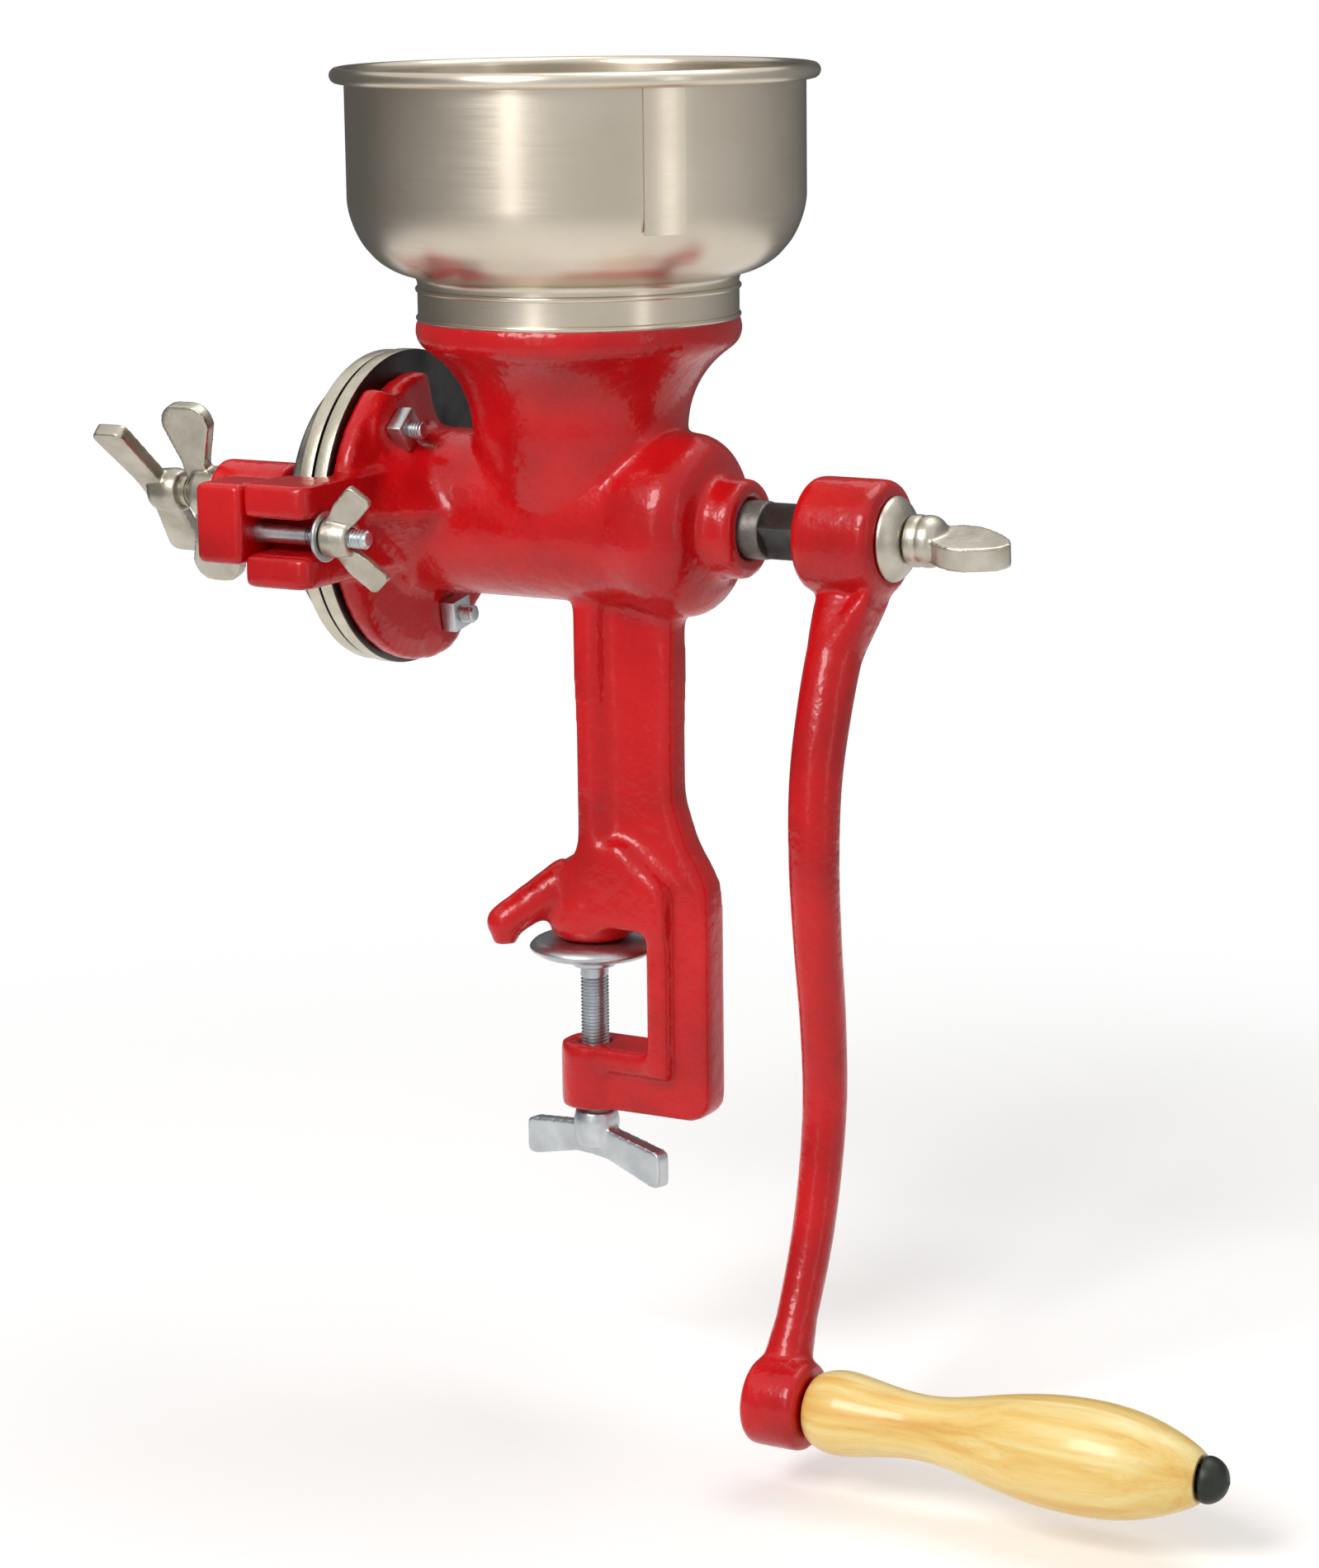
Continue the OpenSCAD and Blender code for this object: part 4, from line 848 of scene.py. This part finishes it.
bm = bmesh.new()
turn(bm, SPINDLE, 40, place=AT_HANDLE)
turn(bm, CAP_DOME, 48, place=AT_HANDLE)
finish_piece(bm, "spindle_and_cap", "rotor", black_steel, "handle_spindle")

bm = bmesh.new()
outline = [(GRIP_START + share * GRIP_LEN, d / 2) for share, d in GRIP]
turn(bm, [(GRIP_START, GRIP_BORE_R), *outline, (GRIP_START + GRIP_LEN, GRIP_BORE_R)], 48, True, AT_HANDLE)
grip = finish_piece(bm, "turned_grip", "grip", varnished_wood, "handle_grip")
round_off = grip.modifiers.new("round_off", "SUBSURF")
round_off.levels = round_off.render_levels = 2

# %% [markdown]
# The clamp: a screw with the same winged head, pushed up through the lower jaw, and a dished pad
# that swivels on its end.

# %% Clamp screw and pad
HEAD_Z, SCREW_TOP, CLAMP_TURN, PAD_TOP = -57, -3.8, math.radians(107), -0.3
CLAMP_D, CLAMP_PITCH, CLAMP_THREAD = 9, 1.1, (HEAD_Z + 2, -12)
DOWNWARDS = Matrix.Rotation(HALF / 2, 4, "Y")
PAD = [(0, 0), (0, 18.5, 1.5), (-2, 20.5, 0.8), (-3, 20.5, 0.6), (-5, 17.5, 1.0), (-5, 7.2, 0.8),
       (-9, 7.0, 0.8), (-9, 4.7), (-3, 4.7), (-3, 0)]

bm = bmesh.new()
wing_head(bm, Matrix.Translation((0, 0, HEAD_Z)) @ DOWNWARDS @ Matrix.Rotation(CLAMP_TURN, 4, "X"))
threaded_rod(bm, HEAD_Z - 1, SCREW_TOP, CLAMP_D, CLAMP_PITCH, *CLAMP_THREAD, UPRIGHT)
finish_piece(bm, "clamp_screw_cast", "clamp_screw", zinc_steel, "clamp_screw")

bm = bmesh.new()
turn(bm, PAD, 64, place=Matrix.Translation((0, 0, PAD_TOP)) @ UPRIGHT)
finish_piece(bm, "swivel_pad", "pad", zinc_steel, "clamp_pad")

# %% [markdown]
# The stage. A pale floor lies just under the lowest point of the handle. Near the object it
# shows soft shadows, and further out it fades to the white of the background, as a studio sweep
# does. Floor and world are white where the camera, a metal or glass looks at them, and softer as
# light, so that the white doesn't flood the object.

# %% Floor
FLOOR_Z, FLOOR_R, FADE_FROM, FADE_TO = -0.152, 30, 0.25, 0.7
SOFT_LIGHT, NEAR_GLOW = 0.34, 0.23
WHITE = rgb("#ffffff")


def looked_at(tree, unseen, seen):
    """One strength for light and another for rays from the camera, gloss or glass."""
    path = add(tree, "LightPath").outputs
    either = add(tree, "Math", {"operation": "ADD"}, {0: path["Is Camera Ray"], 1: path["Is Glossy Ray"]})
    any_of = add(tree, "Math", {"operation": "ADD", "use_clamp": True},
                 {0: either.outputs[0], 1: path["Is Transmission Ray"]})
    strength = add(tree, "MapRange", {"To Min": unseen, "To Max": seen}, {"Value": any_of.outputs[0]})
    return strength.outputs["Result"]


def studio_piece(bm, name, look):
    """Makes a piece of the studio of a mesh in metres."""
    mesh = bpy.data.meshes.new(name)
    bm.to_mesh(mesh)
    bm.free()
    mesh.materials.append(look)
    piece = bpy.data.objects.new(name, mesh)
    bpy.context.scene.collection.objects.link(piece)
    print(name, len(mesh.polygons), "faces")
    return piece


floor_look, tree, coords = new_material("pale_paper_floor")
far = add(tree, "VectorMath", {"operation": "LENGTH"}, {0: coords})
fade = add(tree, "MapRange",
           {"interpolation_type": "SMOOTHSTEP", "From Min": FADE_FROM, "From Max": FADE_TO},
           {"Value": far.outputs["Value"]})
paper = add(tree, "BsdfDiffuse", {"Color": rgb("#f7f6f4")})
glow = add(tree, "Emission", {"Color": WHITE}, {"Strength": looked_at(tree, 0.0, NEAR_GLOW)})
near = add(tree, "AddShader", None, {0: paper.outputs[0], 1: glow.outputs[0]})
white = add(tree, "Emission", {"Color": WHITE}, {"Strength": looked_at(tree, SOFT_LIGHT, 1.0)})
sweep = add(tree, "MixShader", None, {0: fade.outputs["Result"], 1: near.outputs[0], 2: white.outputs[0]})
add(tree, "OutputMaterial", None, {"Surface": sweep.outputs[0]})
bm = bmesh.new()
bmesh.ops.create_circle(bm, cap_ends=True, segments=96, radius=FLOOR_R)
bmesh.ops.translate(bm, verts=bm.verts, vec=(0, 0, FLOOR_Z))
floor = studio_piece(bm, "pale_floor", floor_look)

# %% [markdown]
# The world is the same white, seen past the floor's edge and in the metal. The Standard view
# transform shows a colour as it is written.

# %% World
bpy.context.scene.view_settings.view_transform = "Standard"
world = bpy.data.worlds.new("white_studio")
bpy.context.scene.world = world
world.use_nodes = True
tree = world.node_tree
tree.nodes.clear()
sky = add(tree, "Background", {"Color": WHITE}, {"Strength": looked_at(tree, SOFT_LIGHT, 1.0)})
add(tree, "OutputWorld", None, {"Surface": sky.outputs[0]})
print("world:", world.name)

# %% [markdown]
# Lights. A soft box above the camera's left is the key, one overhead fills, and two upright
# strips draw the bright bands on the sheet.

# %% Lights
AIM = Vector((0.0, 0.0, 0.1))
STRIP, STRIP_WATTS = (0.25, 1.2), 1.1


def soft_box(name, place, size, watts):
    """A rectangular lamp aimed at the mill."""
    lamp = bpy.data.lights.new(name, "AREA")
    lamp.shape, lamp.size, lamp.size_y, lamp.energy = "RECTANGLE", size[0], size[1], watts
    box = bpy.data.objects.new(name, lamp)
    box.location, box.rotation_euler = place, (AIM - Vector(place)).to_track_quat("-Z", "Y").to_euler()
    bpy.context.scene.collection.objects.link(box)
    print(name, watts, "W")


soft_box("key_box", (-0.2, -1.6, 1.35), (0.8, 0.8), 24)
soft_box("top_box", (0.2, 0.5, 1.7), (1.0, 1.0), 9)
soft_box("front_strip", (-0.04, -1.6, 0.4), STRIP, STRIP_WATTS)
soft_box("side_strip", (1.6, -0.4, 0.4), STRIP, STRIP_WATTS)

# %% [markdown]
# White metal in a white room has no shape, so a grey drape hangs round the set where only
# reflections see it, open at the top. It is darkest behind the mill, which gives the paint its
# dark edges, and a ramp round the compass sets each side.

# %% Drape
DRAPE = [(0.75, FLOOR_Z + 0.01), (2.1, FLOOR_Z + 0.01), (2.3, FLOOR_Z + 0.2), (2.3, 1.6)]
DRAPE_LEVELS = [(0, "#6a6a6a"), (0.14, "#a4a4a4"), (0.2, "#c0c0c0"), (0.25, "#e2e2e2"),
                (0.31, "#d8d8d8"), (0.42, "#d8d8d8"), (0.46, "#e2e2e2"), (0.52, "#d0d0d0"),
                (0.64, "#a8a8a8"), (0.8, "#4c4c4c"), (1, "#6a6a6a")]

drape_look, tree, coords = new_material("grey_studio_drape")
compass = add(tree, "TexGradient", {"gradient_type": "RADIAL"}, {"Vector": coords})
levels = add(tree, "ValToRGB", {"stops": DRAPE_LEVELS}, {"Fac": compass.outputs["Fac"]})
cloth = add(tree, "Emission", None, {"Color": levels.outputs["Color"]})
add(tree, "OutputMaterial", None, {"Surface": cloth.outputs[0]})
drape_look.cycles.emission_sampling = "NONE"
bm = bmesh.new()
hung = [bm.verts.new((r, 0, z)) for r, z in DRAPE]
for a, b in zip(hung, hung[1:]):
    bm.edges.new((a, b))
bmesh.ops.spin(bm, geom=bm.verts[:] + bm.edges[:], cent=(0, 0, 0), axis=(0, 0, 1), angle=WHOLE, steps=72,
               use_merge=True)
drape = studio_piece(bm, "grey_drape", drape_look)
drape.visible_camera = drape.visible_shadow = drape.visible_diffuse = False

# %% [markdown]
# The camera stands where the photograph's did. Its place, its turn and its lens came from
# matching known points of the mill with their pixels.

# %% Camera
YAW, PITCH, ROLL = math.radians(29.65), math.radians(11.73), math.radians(-0.69)
STAND = Matrix.Translation((0.6552, -1.1078, 0.3164))
TILT = Matrix.Rotation(HALF / 2 - PITCH, 4, "X") @ Matrix.Rotation(ROLL, 4, "Z")

camera = bpy.data.cameras.new("photo_camera")
camera.lens, camera.sensor_width = 95.67, 36
photographer = bpy.data.objects.new("photo_camera", camera)
photographer.matrix_world = STAND @ Matrix.Rotation(YAW, 4, "Z") @ TILT
bpy.context.scene.collection.objects.link(photographer)
bpy.context.scene.camera = photographer
print("camera", [round(v, 3) for v in photographer.matrix_world.translation])
